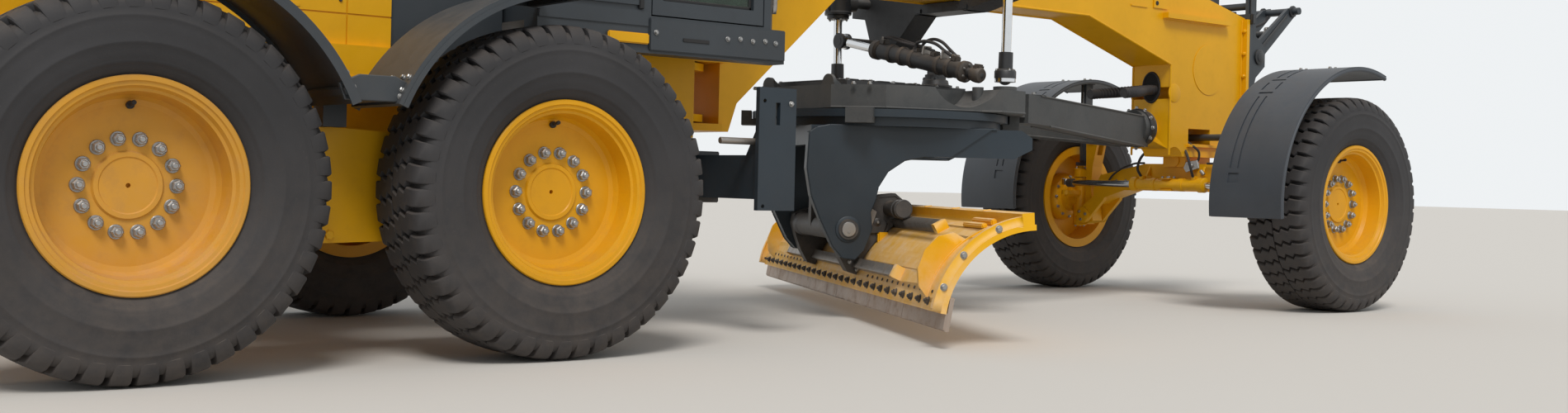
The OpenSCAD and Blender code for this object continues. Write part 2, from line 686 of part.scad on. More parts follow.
// columns: angle on the blade's back, height above it
rib = [[166, -6], [161, 50], [153, 88], [144, 104], [135, 96], [128, 60], [124, -6], [145, -10]];
rail_l = 2200;
rail_h = 44;
blade_shift = -64;
lug_l = 1194;
shift_tail = -60;
module from_blade() {
    from_arms() translate([0, blade_shift, 0]) children();
}
module at_arc(a) {
    translate([blade_c[0], 0, blade_c[1]]) rotate([0, -a, 0]) children();
}
module moldboard() {
    color(yellow) from_blade() {
        translate([blade_c[0], 0, blade_c[1]]) arc_sheet(blade_r - blade_t, blade_t, blade_l, 92.5, 172);
        for (s = [-1, 1]) translate([blade_c[0], s * (blade_l / 2 - 14), blade_c[1]])
            arc_sheet(blade_r - blade_t / 2, 52, 24, 95, 171);
        for (a = rail_angles) at_arc(a) {
            block([blade_r - 4, -rail_l / 2, -25], [blade_r + rail_h, rail_l / 2, 25]);
            both_sides() block([blade_r - 4, rail_l / 2 - 1, -32], [blade_r + rail_h, rail_l / 2 + 45, 32]);
        }
        at_arc(118) block([blade_r - 4, lug_l, -40], [blade_r + 150, lug_l + 40, 40]);
        // box along the top edge, and a rib near each end
        translate([blade_c[0], 0, blade_c[1]]) arc_sheet(blade_r - 8, 60, blade_l, 93.5, 100);
        for (s = [-1, 1]) translate([blade_c[0], s * (blade_l / 2 - 240), blade_c[1]]) side_plate(20)
            polygon([for (c = rib) (blade_r + c[1]) * [cos(c[0]), sin(c[0])]]);
    }
}
module cutting_edge() {
    color(steel) from_blade() at_arc(170)
        block([blade_r - blade_t - 25, -blade_l / 2, -60], [blade_r - blade_t - 5, blade_l / 2, 88]);
}
cyl_r = 550;
module side_shift_rod() {
    color(chrome) from_blade() at_arc(118) translate([cyl_r - 2, (lug_l - seat + shift_tail) / 2, 0])
        rod_y(24, lug_l - seat - shift_tail);
}
bracket_l = [400, 480];
tube_l = [-710, 520];
module tilt_bracket() {
    color(dark) from_arms() {
        difference() {
            union() {
                both_sides() translate([0, (bracket_l[0] + bracket_l[1]) / 2, 0])
                    side_plate(bracket_l[1] - bracket_l[0]) difference() {
                        polygon([[-340, 470], [-320, 400], [-290, 320], [-250, 250], [-190, 230], [-150, 330],
                            [20, 520], [60, 530], [60, 600], [0, 650], [-90, 640], [-200, 560], [-276, 540], [-330, 520]]);
                        translate(blade_c) circle(r = blade_r + 6, $fn = 96);
                    }
                translate([tilt_pin[0], 0, tilt_pin[1]]) rod_y(62, 2 * bracket_l[0] + 20);
                both_sides() translate([tilt_pin[0], bracket_l[1] - 5 + 55, tilt_pin[1]]) rod_y(tilt_pin_r, 110);
                both_sides() translate([tilt_pin[0], arm_y + arm_t / 2 + 8, tilt_pin[1]]) rod_y(52, 14);
                at_arc(118) translate([cyl_r - 2, (tube_l[0] + tube_l[1]) / 2, 0]) rod_y(42, tube_l[1] - tube_l[0]);
                side_plate(60) {
                    polygon([[-340, 470], [-336, 730], [-216, 730], [-212, 470]]);
                    translate(tilt_eye) circle(r = 60, $fn = 48);
                }
            }
            at_arc(118) translate([cyl_r - 2, (tube_l[0] + tube_l[1]) / 2 + 20, 0]) rod_y(24 + seat, tube_l[1] - tube_l[0]);
            for (a = rail_angles) at_arc(a) block([0, -700, -25.3], [blade_r + rail_h + seat, 700, 25.3]);
            translate([tilt_eye[0], 0, tilt_eye[1]]) rod_y(42, 80);
        }
    }
}
tilt_len = norm(tilt_anchor - tilt_eye);
tilt_slope = atan2(tilt_anchor[1] - tilt_eye[1], tilt_anchor[0] - tilt_eye[0]);
module along_tilt() {
    from_arms() translate([tilt_anchor[0], 0, tilt_anchor[1]]) rotate([0, 180 - tilt_slope, 0]) children();
}
tilt_bore = [75, 390];
tilt_tail = 215;
module tilt_barrel() {
    color(dark) along_tilt() difference() {
        union() {
            rod_y(62, 60);
            translate([(tilt_bore[0] + tilt_bore[1]) / 2 - 20, 0, 0]) rod_x(45, tilt_bore[1] - tilt_bore[0] + 20);
        }
        rod_y(40 + run, 100);
        translate([(tilt_bore[0] + tilt_bore[1]) / 2, 0, 0]) rod_x(22 + seat, tilt_bore[1] - tilt_bore[0] + 20);
    }
}
module tilt_rod() {
    color(chrome) along_tilt() {
        translate([(tilt_len - 86 + tilt_tail) / 2, 0, 0]) rod_x(22, tilt_len - 86 - tilt_tail);
        translate([tilt_len, 0, 0]) {
            for (s = [-1, 1]) translate([0, s * 42, 0]) rod_y(46, 18);
            rod_y(20, 90);
            both_sides() block([-106, 33, -20], [0, 51, 20]);
            block([-106, -51, -20], [-84, 51, 20]);
        }
    }
}

// Lift cylinders: each hangs from a pin of the saddle and lifts the drawbar through a ball at its foot
saddle_y = 690;
saddle_arm_z = [1870, 1780];
lift_top = [for (i = [0, 1]) [ball_x - lift_back, i == 0 ? -saddle_y : saddle_y, saddle_arm_z[i]]];
lift_foot = [for (s = [-1, 1]) [ball_x - lift_back, s * lift_y, ball_z + lift_z]];
trunnion_r = 30;
lift_rod_r = 26;
module along(a, b) {
    d = b - a;
    translate(a) rotate([0, acos(d[2] / norm(d)), atan2(d[1], d[0])]) children();
}
// The pin of a lift cylinder points at the drawbar's ball, seen from above
module at_lift_pin(i) {
    translate(lift_top[i]) rotate([0, 0, atan2(-lift_foot[i][1], ball_x - lift_foot[i][0])]) children();
}
module lift_barrel(i) {
    color(dark) in_place() difference() {
        union() {
            along(lift_top[i], lift_foot[i]) {
                translate([0, 0, -760]) cylinder(r = 58, h = 860, $fn = 48);
                translate([0, 0, -75]) cylinder(r = 78, h = 150, $fn = 48);
            }
            at_lift_pin(i) translate([65, 0, 0]) rod_x(52, 90);
        }
        along(lift_top[i], lift_foot[i]) translate([0, 0, -700]) cylinder(r = lift_rod_r + seat, h = 900, $fn = 48);
        at_lift_pin(i) translate([95, 0, 0]) rod_x(trunnion_r + run, 120);
    }
}
module lift_rod(i) {
    len = norm(lift_foot[i] - lift_top[i]);
    color(chrome) in_place() {
        along(lift_top[i], lift_foot[i]) {
            translate([0, 0, -480]) cylinder(r = lift_rod_r, h = len + 480, $fn = 48);
            translate([0, 0, len - 110]) cylinder(r = 36, h = 70, $fn = 48);
        }
        translate(lift_foot[i]) {
            sphere(r = ball_end_r, $fn = 48);
            translate([0, 0, -24]) cylinder(r = 56, h = 44, $fn = 48);
        }
    }
}

// Saddle: clasps the gooseneck and carries the two lift cylinders and the side-shift cylinder
saddle_x = [ball_x - circle_back + 450, ball_x - circle_back + 620];
shift_eye = [ball_x + shift_ball[0], 500, 1530];
module saddle() {
    w = neck_w / 2;
    color(dark) in_place() {
        difference() {
            translate([(saddle_x[0] + saddle_x[1]) / 2, 0, 0]) rotate([90, 0, 90])
                linear_extrude(saddle_x[1] - saddle_x[0], center = true) polygon([
                    [-saddle_y - 75, saddle_arm_z[0] - 75], [-saddle_y - 75, saddle_arm_z[0] + 60], [-saddle_y + 60, saddle_arm_z[0] + 80],
                    [-w - 80, neck_z + neck_depth + 105], [w + 80, neck_z + neck_depth + 105], [saddle_y - 60, saddle_arm_z[1] + 80], [saddle_y + 75, saddle_arm_z[1] + 60],
                    [saddle_y + 75, saddle_arm_z[1] - 75], [saddle_y - 40, saddle_arm_z[1] - 90],
                    [shift_eye[1] + 70, shift_eye[2] - 60], [shift_eye[1] - 70, shift_eye[2] - 60], [w + 60, neck_z - 55],
                    [-w - 60, neck_z - 55], [-saddle_y + 60, saddle_arm_z[0] - 90]]);
            block([saddle_x[0] - 1, -w - seat, neck_z - seat], [saddle_x[1] + 1, w + seat, neck_z + neck_depth + seat]);
        }
        for (i = [0, 1]) at_lift_pin(i) translate([145, 0, 0]) rod_x(trunnion_r, 200);
        translate([(shift_eye[0] - 36 + saddle_x[0] + 10) / 2, shift_eye[1], shift_eye[2]])
            rod_x(shift_pin_r, saddle_x[0] + 46 - shift_eye[0]);
    }
}

// Side-shift cylinder of the drawbar, from a clevis on the saddle down to a ball on the yoke plate
shift_pin_r = 24;
shift_rod_r = 24;
shift_foot = [ball_x + shift_ball[0], shift_ball[1], ball_z + shift_ball[2]];
shift_len = norm(shift_foot - shift_eye);
shift_bore = [290, shift_len - 115];
module shift_clevis() {
    color(dark) in_place() difference() {
        translate(shift_eye) both_ends() translate([27, 0, 0]) rod_x(46, 16);
        translate(shift_eye) rod_x(shift_pin_r + run, 200);
    }
}
module both_ends() {
    children();
    mirror([1, 0, 0]) children();
}
module shift_rod() {
    color(chrome) in_place() difference() {
        union() {
            along(shift_eye, shift_foot) {
                translate([-20, -18, 30]) cube([40, 36, 40]);
                translate([0, 0, 58]) cylinder(r = shift_rod_r, h = shift_bore[1] - 240 - 58, $fn = 48);
            }
            translate(shift_eye) rod_x(44, 37);
        }
        translate(shift_eye) rod_x(shift_pin_r + run, 80);
    }
}
module shift_barrel() {
    color(dark) in_place() along(shift_eye, shift_foot) {
        difference() {
            translate([0, 0, shift_bore[0]]) cylinder(r = 46, h = shift_bore[1] - shift_bore[0] + 25, $fn = 48);
            translate([0, 0, shift_bore[0] - 10]) cylinder(r = shift_rod_r + seat, h = shift_bore[1] - shift_bore[0] + 10, $fn = 48);
        }
        translate([0, 0, shift_len - 100]) cylinder(r = 26, h = 90, $fn = 48);
        translate([0, 0, shift_len]) sphere(r = shift_ball_r, $fn = 48);
    }
}

// Front lift group: a mast bolted to the column and an arm that swings up and down
mast_x = column_x[1] + seat;
arm_pivot = [mast_x + 150, 1620];
module front_mast() {
    color(charcoal) in_place() {
        block([mast_x, -190, 1150], [mast_x + 30, 190, 1900]);
        both_sides() translate([0, 150, 0]) side_plate(24) difference() {
            polygon([[mast_x + 20, 1200], [mast_x + 120, 1480], [mast_x + 220, 1560], [mast_x + 220, 1690],
                [mast_x + 110, 1760], [mast_x + 110, 2150], [mast_x + 20, 2150]]);
            translate(arm_pivot) circle(r = 25 + run, $fn = 48);
        }
        block([mast_x + 20, -150, 2090], [mast_x + 110, 150, 2110]);
        // lift cylinder of the arm, between the side plates
        translate([mast_x + 70, 0, 1960]) rod_y(24, 290);
        both_sides() translate([mast_x + 66, 220, 2110 - 1]) {
            block([-40, -120, 0], [30, 60, 12]);
            block([-40, -90, 11], [45, 60, 110]);
        }
    }
}
module front_lift_arm() {
    color(charcoal) in_place() {
        both_sides() translate([0, 100, 0]) side_plate(24) polygon([
            [arm_pivot[0] - 45, 1600], [arm_pivot[0] - 30, 1665], [front_end - 90, 1990],
            [front_end, 2010], [front_end, 1950], [arm_pivot[0] + 50, 1575], [arm_pivot[0], 1570]]);
        translate([arm_pivot[0], 0, arm_pivot[1]]) rod_y(25, 330);
        translate([front_end - 45, 0, 1972]) rod_y(25, 340);
    }
}

// Front axle: a beam under the column with a fork at each end and the steering cylinder behind it
beam_z = [700, 880];
lean_pin = [790, 520];
lean_pin_r = 28;
steer_arm = 188;
steer_x = wheelbase - steer_arm;
steer_z = 742;
steer_rod_r = 22;
steer_eye_r = 27;
arm_drop = 52;
module front_axle() {
    color(yellow) in_place() {
        difference() {
            union() {
                translate([wheelbase, 0, 0]) rotate([90, 0, 90]) linear_extrude(200, center = true) polygon([
                    [-620, beam_z[0] - 60], [-430, beam_z[0]], [430, beam_z[0]], [620, beam_z[0] - 60], [700, 600],
                    [700, 700], [640, 800], [260, beam_z[1]], [-260, beam_z[1]], [-640, 800], [-700, 700], [-700, 600]]);
                for (s = [-1, 1], e = [-1, 1]) translate([wheelbase + e * 85, 0, 0]) rotate([90, 0, 90])
                    linear_extrude(30, center = true) hull() {
                        translate([s * lean_pin[0], lean_pin[1]]) circle(r = 52, $fn = 32);
                        translate([s * 644, 650]) circle(r = 38, $fn = 32);
                    }
            }
            both_sides() translate([wheelbase, lean_pin[0], lean_pin[1]]) rod_x(lean_pin_r + run, 300);
        }
        // pivot block under the column
        block([wheelbase - 130, -90, beam_z[1] - 20], [wheelbase + 130, 90, column_z - seat]);
        // steering cylinder
        difference() {
            union() {
                translate([steer_x, 0, steer_z]) rod_y(38, 560);
                block([steer_x, -60, steer_z - 30], [wheelbase - 90, 60, steer_z + 30]);
            }
            translate([steer_x, 0, steer_z]) rod_y(steer_rod_r + seat, 700);
        }
    }
}

// Lean casting: hangs on the axle fork, holds the kingpin inside the wheel and forks at its top
king_y = 900;
king_r = 25;
eye_z = [455, 785];
bar_z = 1056;
bar_y = 765;
module lean_shape() {
    color(yellow) in_place() {
        difference() {
            union() {
                translate([wheelbase, 0, 0]) rotate([90, 0, 90]) linear_extrude(100, center = true) polygon([
                    [745, 480], [790, 462], [820, 480], [838, 540], [806, 620], [806, 770], [812, 860], [815, 1000], [812, 1090],
                    [790, 1108], [740, 1108], [718, 1090], [718, 1020], [745, 900], [755, 860], [765, 700], [750, 560]]);
                for (z = eye_z) {
                    translate([wheelbase, king_y, z]) cylinder(r = 50, h = 50, $fn = 48);
                    block([wheelbase - 40, 800, z], [wheelbase + 40, king_y, z + 50]);
                }
            }
            translate([wheelbase, king_y, 440]) cylinder(r = king_r + run, h = 420, $fn = 48);
            // slot of the fork
            block([wheelbase - 26, 650, 940], [wheelbase + 26, 900, 1120]);
        }
        translate([wheelbase, lean_pin[0], lean_pin[1]]) rod_x(lean_pin_r, 230);
        for (e = [-1, 1]) translate([wheelbase + e * 54, bar_y, bar_z]) rod_x(26, 12);
    }
}
module lean_left() lean_shape();
module lean_right() mirror([0, 1, 0]) lean_shape();

// Lean bar: joins the tops of the two castings through the slot of the column
module lean_bar() {
    color(charcoal) in_place() {
        translate([wheelbase, 0, bar_z]) rod_y(22, 2 * bar_y - 60);
        both_sides() {
            translate([wheelbase, bar_y, bar_z]) rod_x(34, 52 - 2 * seat);
            block([wheelbase - 26 + seat, bar_y - 80, bar_z - 22], [wheelbase + 26 - seat, bar_y, bar_z + 22]);
        }
    }
}

// Knuckle: turns on the kingpin and carries the wheel spindle, the steering arm and the fender's post
post_y = [838, 862];
module knuckle_shape() {
    color(yellow) in_place() {
        translate([wheelbase, king_y, 440]) cylinder(r = king_r, h = 425, $fn = 48);
        translate([wheelbase, king_y, eye_z[0] + 50 + clear]) cylinder(r = 50, h = eye_z[1] - eye_z[0] - 50 - 2 * clear, $fn = 48);
        translate([wheelbase, (king_y + front_track + hub_gap_y) / 2, axle_z])
            rod_y(70, front_track + hub_gap_y - king_y);
        // steering arm, straight back from the kingpin
        translate([wheelbase, king_y, steer_z - arm_drop - 30]) linear_extrude(30)
            polygon([[20, -36], [-60, -34], [-steer_arm - 10, -52], [-steer_arm - 24, -40], [-steer_arm - 30, -25],
                [-steer_arm - 24, -8], [-steer_arm - 10, 2], [-60, 36], [20, 36]]);
    }
}
module knuckle_left() knuckle_shape();
module knuckle_right() mirror([0, 1, 0]) knuckle_shape();

// Steering rod: slides through its cylinder, with an eye over each steering arm
module steering_rod() {
    color(chrome) in_place() {
        translate([steer_x, 0, steer_z]) rod_y(steer_rod_r, 2 * (king_y - 50));
        both_sides() translate([steer_x, king_y - 25, steer_z - 14]) cylinder(r = steer_eye_r, h = 40, $fn = 32);
    }
}

// Front fender: a moulded arch that turns with the wheel on a post beside the tyre
front_fender_r = 800;
front_fender_y = [780, 1265];
fender_sheet = 25;
// columns: place across, width, first and last angle
grooves = [[118, 12, 84, 114], [186, 12, 84, 114], [152, 96, 116, 117], [106, 12, 119, 125], [198, 12, 119, 125],
    [152, 96, 127, 128], [126, 12, 130, 166], [178, 12, 130, 166], [152, 70, 168, 172]];
module front_fender_shape() {
    w = front_fender_y[1] - front_fender_y[0];
    color(charcoal) in_place() {
        difference() {
            translate([wheelbase, (front_fender_y[0] + front_fender_y[1]) / 2, axle_z])
                arc_sheet(front_fender_r, fender_sheet, w, 72, 186);
            for (g = grooves) translate([wheelbase, front_fender_y[0] + g[0], axle_z])
                arc_sheet(front_fender_r + fender_sheet - 7, 20, g[1], g[2], g[3]);
        }
        block([wheelbase - 35, post_y[0], 865 + seat], [wheelbase + 35, post_y[1], axle_z + front_fender_r + 5]);
        block([wheelbase - 35, post_y[0], 865 + seat], [wheelbase + 35, king_y + 20, 889]);
    }
}
module fender_front_left() front_fender_shape();
module fender_front_right() mirror([0, 1, 0]) front_fender_shape();

module rim_rear_left_back() wheel_place(rear_wheels[0][1], rear_track, 1) rim_shape();
module rim_rear_left_front() wheel_place(rear_wheels[1][1], rear_track, 1) rim_shape();
module rim_rear_right_back() wheel_place(rear_wheels[0][1], rear_track, -1) rim_shape();
module rim_rear_right_front() wheel_place(rear_wheels[1][1], rear_track, -1) rim_shape();
module rim_front_left() wheel_place(wheelbase, front_track, 1) rim_shape();
module rim_front_right() wheel_place(wheelbase, front_track, -1) rim_shape();
module tyre_rear_left_back() wheel_place(rear_wheels[0][1], rear_track, 1) tyre_shape();
module tyre_rear_left_front() wheel_place(rear_wheels[1][1], rear_track, 1) tyre_shape();
module tyre_rear_right_back() wheel_place(rear_wheels[0][1], rear_track, -1) tyre_shape();
module tyre_rear_right_front() wheel_place(rear_wheels[1][1], rear_track, -1) tyre_shape();
module tyre_front_left() wheel_place(wheelbase, front_track, 1) tyre_shape();
module tyre_front_right() wheel_place(wheelbase, front_track, -1) tyre_shape();

rear_frame();
tandem_drive();
engine_block();
engine_hood();
rear_grille();
tank_bay();
rear_fenders();
exhaust_stacks();
cab_frame();
cab_glass();
operator_seat();
control_console();
access_steps();
lamps_mirrors();
side_bracket();
door_left();
door_right();
rim_rear_left_back();
rim_rear_left_front();
rim_rear_right_back();
rim_rear_right_front();
rim_front_left();
rim_front_right();
tyre_rear_left_back();
tyre_rear_left_front();
tyre_rear_right_back();
tyre_rear_right_front();
tyre_front_left();
tyre_front_right();
front_frame();
saddle();
front_mast();
front_lift_arm();
front_axle();
lean_left();
lean_right();
lean_bar();
knuckle_left();
knuckle_right();
fender_front_left();
fender_front_right();
steering_rod();
drawbar_ball();
drawbar();
turning_circle();
circle_drive();
tilt_bracket();
moldboard();
cutting_edge();
side_shift_rod();
tilt_barrel();
tilt_rod();
lift_barrel(1);  // lift_barrel_left
lift_barrel(0);  // lift_barrel_right
lift_rod(1);  // lift_rod_left
lift_rod(0);  // lift_rod_right
shift_barrel();
shift_rod();
shift_clevis();
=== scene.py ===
import random
from math import atan2, cos, pi, radians, sin

import bpy
import bmesh
from mathutils import Matrix, Vector


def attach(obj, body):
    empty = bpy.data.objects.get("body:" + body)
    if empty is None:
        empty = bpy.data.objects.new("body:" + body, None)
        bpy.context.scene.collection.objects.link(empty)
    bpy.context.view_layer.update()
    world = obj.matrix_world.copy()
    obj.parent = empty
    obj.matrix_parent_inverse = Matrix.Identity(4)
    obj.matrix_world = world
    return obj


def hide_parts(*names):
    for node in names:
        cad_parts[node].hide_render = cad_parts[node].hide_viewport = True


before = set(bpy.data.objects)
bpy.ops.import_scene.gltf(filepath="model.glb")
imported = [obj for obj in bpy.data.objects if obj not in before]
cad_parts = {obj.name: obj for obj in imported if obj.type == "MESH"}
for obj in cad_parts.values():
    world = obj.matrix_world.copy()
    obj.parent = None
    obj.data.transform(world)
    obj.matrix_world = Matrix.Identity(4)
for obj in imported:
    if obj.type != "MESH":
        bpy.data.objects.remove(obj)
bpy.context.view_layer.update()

# Camera, light and floor. The machine is seen from low beside its right rear wheels, looking
# forward along its side. A pale floor and a soft sky light it evenly, and a wide lamp gives it a
# soft shadow.
eye = Vector((-4.951, -6.274, 0.709))
yaw, roll = 0.674, 0.023
ahead = Vector((sin(yaw), cos(yaw), 0))
level = Vector((cos(yaw), -sin(yaw), 0))
right = level * cos(roll) + Vector((0, 0, 1)) * sin(roll)
up = Vector((0, 0, 1)) * cos(roll) - level * sin(roll)


def new_object(name, data):
    made = bpy.data.objects.new(name, data)
    bpy.context.collection.objects.link(made)
    return made


lens = bpy.data.cameras.new("camera")
photo_wide, focal_pixels, shift_pixels = 1900, 1854.974, -31.012
lens.sensor_width = 36
lens.lens = lens.sensor_width * focal_pixels / photo_wide
lens.shift_y = shift_pixels / photo_wide
lens.clip_end = 200
camera = new_object("camera", lens)
camera.matrix_world = Matrix((right, up, -ahead)).transposed().to_4x4()
camera.matrix_world.translation = eye
bpy.context.scene.camera = camera
bpy.context.scene.view_settings.view_transform = "Standard"
sky = bpy.data.worlds.new("sky")
bpy.context.scene.world = sky
sky.use_nodes = True
sky_nodes, sky_links = sky.node_tree.nodes, sky.node_tree.links
sky_nodes.clear()


def add_node(nodes, kind, **values):
    made = nodes.new("ShaderNode" + kind)
    for label, value in values.items():
        made.inputs[label].default_value = value
    return made


sky_out, sky_mix = add_node(sky_nodes, "OutputWorld"), add_node(sky_nodes, "MixShader")
sky_light = add_node(sky_nodes, "Background", Color=(0.93, 0.97, 1.0, 1), Strength=0.57)
sky_seen = add_node(sky_nodes, "Background", Color=(0.86, 0.885, 0.90, 1), Strength=1.0)
rays = add_node(sky_nodes, "LightPath")
seen_or_glossy, any_clear = add_node(sky_nodes, "Math"), add_node(sky_nodes, "Math")
seen_or_glossy.operation = any_clear.operation = "MAXIMUM"
sky_links.new(rays.outputs["Is Camera Ray"], seen_or_glossy.inputs[0])
sky_links.new(rays.outputs["Is Glossy Ray"], seen_or_glossy.inputs[1])
sky_links.new(seen_or_glossy.outputs[0], any_clear.inputs[0])
sky_links.new(rays.outputs["Is Transmission Ray"], any_clear.inputs[1])
sky_links.new(any_clear.outputs[0], sky_mix.inputs[0])
sky_links.new(sky_light.outputs[0], sky_mix.inputs[1])
sky_links.new(sky_seen.outputs[0], sky_mix.inputs[2])
sky_links.new(sky_mix.outputs[0], sky_out.inputs[0])
lamp = bpy.data.lights.new("soft_lamp", "SUN")
lamp.energy = 1.85
lamp.angle = radians(20)
lamp.color = (1.0, 0.97, 0.93)
lamp_object = new_object("soft_lamp", lamp)
lamp_object.rotation_euler = (radians(36), radians(-14), radians(-18))
floor_mesh = bpy.data.meshes.new("floor")
floor_mesh.from_pydata([(-60, -40, 0), (90, -40, 0), (90, 90, 0), (-60, 90, 0)], [], [(0, 1, 2, 3)])
floor = new_object("floor", floor_mesh)
floor_finish = bpy.data.materials.new("floor_matt")
floor_finish.use_nodes = True
floor_shader = floor_finish.node_tree.nodes["Principled BSDF"]
floor_shader.inputs["Base Color"].default_value = (0.66, 0.63, 0.59, 1)
floor_shader.inputs["Roughness"].default_value = 0.95
floor_shader.inputs["Specular IOR Level"].default_value = 0.1
floor_mesh.materials.append(floor_finish)

# Tyres: six radial earthmover tyres. The casing is moulded rubber with fine rings on its walls,
# and 46 pairs of stepped lugs run from the middle of the tread round its shoulders, worn brown
# with earth.


def weathered(name, colour, rough=0.42, metal=0.0, dust=0.35, dust_colour=(0.27, 0.215, 0.165),
              fade=0.10, bump=0.12, grime=0.25, grime_colour=None, coat=0.0, low=0.55, reach=1.5,
              shine=0.5):
    finish = bpy.data.materials.new(name)
    finish.use_nodes = True
    nodes, links = finish.node_tree.nodes, finish.node_tree.links
    shader = nodes["Principled BSDF"]
    shader.inputs["Metallic"].default_value = metal
    shader.inputs["Specular IOR Level"].default_value = shine
    if coat:
        shader.inputs["Coat Weight"].default_value = coat
        shader.inputs["Coat Roughness"].default_value = 0.22
    place = add_node(nodes, "TexCoord")

    def clouds(size, detail, roughness=0.6):
        tex = add_node(nodes, "TexNoise", Scale=size, Detail=detail, Roughness=roughness)
        links.new(place.outputs["Object"], tex.inputs["Vector"])
        return tex.outputs["Fac"]

    def stretch(value, low_in, high_in, low_out, high_out):
        node = add_node(nodes, "MapRange")
        for socket, number in zip(node.inputs[1:5], (low_in, high_in, low_out, high_out)):
            socket.default_value = number
        links.new(value, node.inputs[0])
        return node.outputs[0]

    def sums(kind, a, b):
        node = add_node(nodes, "Math")
        node.operation = kind
        node.use_clamp = True
        for socket, value in zip(node.inputs, (a, b)):
            if isinstance(value, (int, float)):
                socket.default_value = value
            else:
                links.new(value, socket)
        return node.outputs[0]

    def blend(amount, under, over):
        node = add_node(nodes, "Mix")
        node.data_type = "RGBA"
        links.new(amount, node.inputs[0])
        for socket, value in zip((node.inputs[6], node.inputs[7]), (under, over)):
            if isinstance(value, tuple):
                socket.default_value = (*value, 1)
            else:
                links.new(value, socket)
        return node.outputs[2]

    broad = clouds(1.7, 4)
    fine = clouds(14, 8, 0.65)
    specks = clouds(70, 6, 0.7)
    pale = tuple(min(1, c * (1 + fade) + 0.02 * fade) for c in colour)
    deep = tuple(c * (1 - fade) for c in colour)
    base = blend(stretch(broad, 0.35, 0.65, 0, 1), deep, pale)
    dark = grime_colour or tuple(c * 0.35 + 0.008 for c in colour)
    streaks = stretch(fine, 0.52, 0.75, 0, grime)
    base = blend(streaks, base, dark)
    # dust lies on faces that look up and near the ground, broken up by the fine clouds
    facing = add_node(nodes, "NewGeometry")
    split = add_node(nodes, "SeparateXYZ")
    links.new(facing.outputs["Normal"], split.inputs[0])
    upward = stretch(split.outputs["Z"], 0.15, 1.0, 0, 0.5)
    height = add_node(nodes, "SeparateXYZ")
    links.new(place.outputs["Object"], height.inputs[0])
    lowdown = stretch(height.outputs["Z"], 0.0, reach, low, 0.0)
    cover = sums("ADD", upward, lowdown)
    broken = sums("MULTIPLY", cover, stretch(fine, 0.30, 0.68, 0.25, 1.5))
    film = sums("MULTIPLY", broken, dust * 2)
    film = sums("ADD", film, stretch(specks, 0.60, 0.80, 0, dust * 0.6))
    base = blend(film, base, dust_colour)
    links.new(base, shader.inputs["Base Color"])
    gloss = add_node(nodes, "MapRange")
    gloss.inputs[3].default_value = rough
    gloss.inputs[4].default_value = min(0.95, rough + 0.35)
    links.new(sums("ADD", film, streaks), gloss.inputs[0])
    links.new(gloss.outputs[0], shader.inputs["Roughness"])
    relief = add_node(nodes, "Bump", Strength=bump, Distance=0.004)
    links.new(sums("ADD", fine, sums("MULTIPLY", specks, 0.5)), relief.inputs["Height"])
    links.new(relief.outputs[0], shader.inputs["Normal"])
    return finish


machine = Matrix.Translation((-2.725, 0, 0)) @ Matrix.Scale(0.001, 4)


def mesh_of(shape, name, place, sharp=35):
    bmesh.ops.remove_doubles(shape, verts=shape.verts, dist=0.001)
    bmesh.ops.recalc_face_normals(shape, faces=shape.faces)
    mesh = bpy.data.meshes.new(name)
    shape.to_mesh(mesh)
    shape.free()
    mesh.transform(place)
    for face in mesh.polygons:
        face.use_smooth = True
    mesh.set_sharp_from_angle(angle=radians(sharp))
    return mesh


def finished_mesh(made):
    # the object's mesh with its modifiers applied
    return bpy.data.meshes.new_from_object(made.evaluated_get(bpy.context.evaluated_depsgraph_get()))


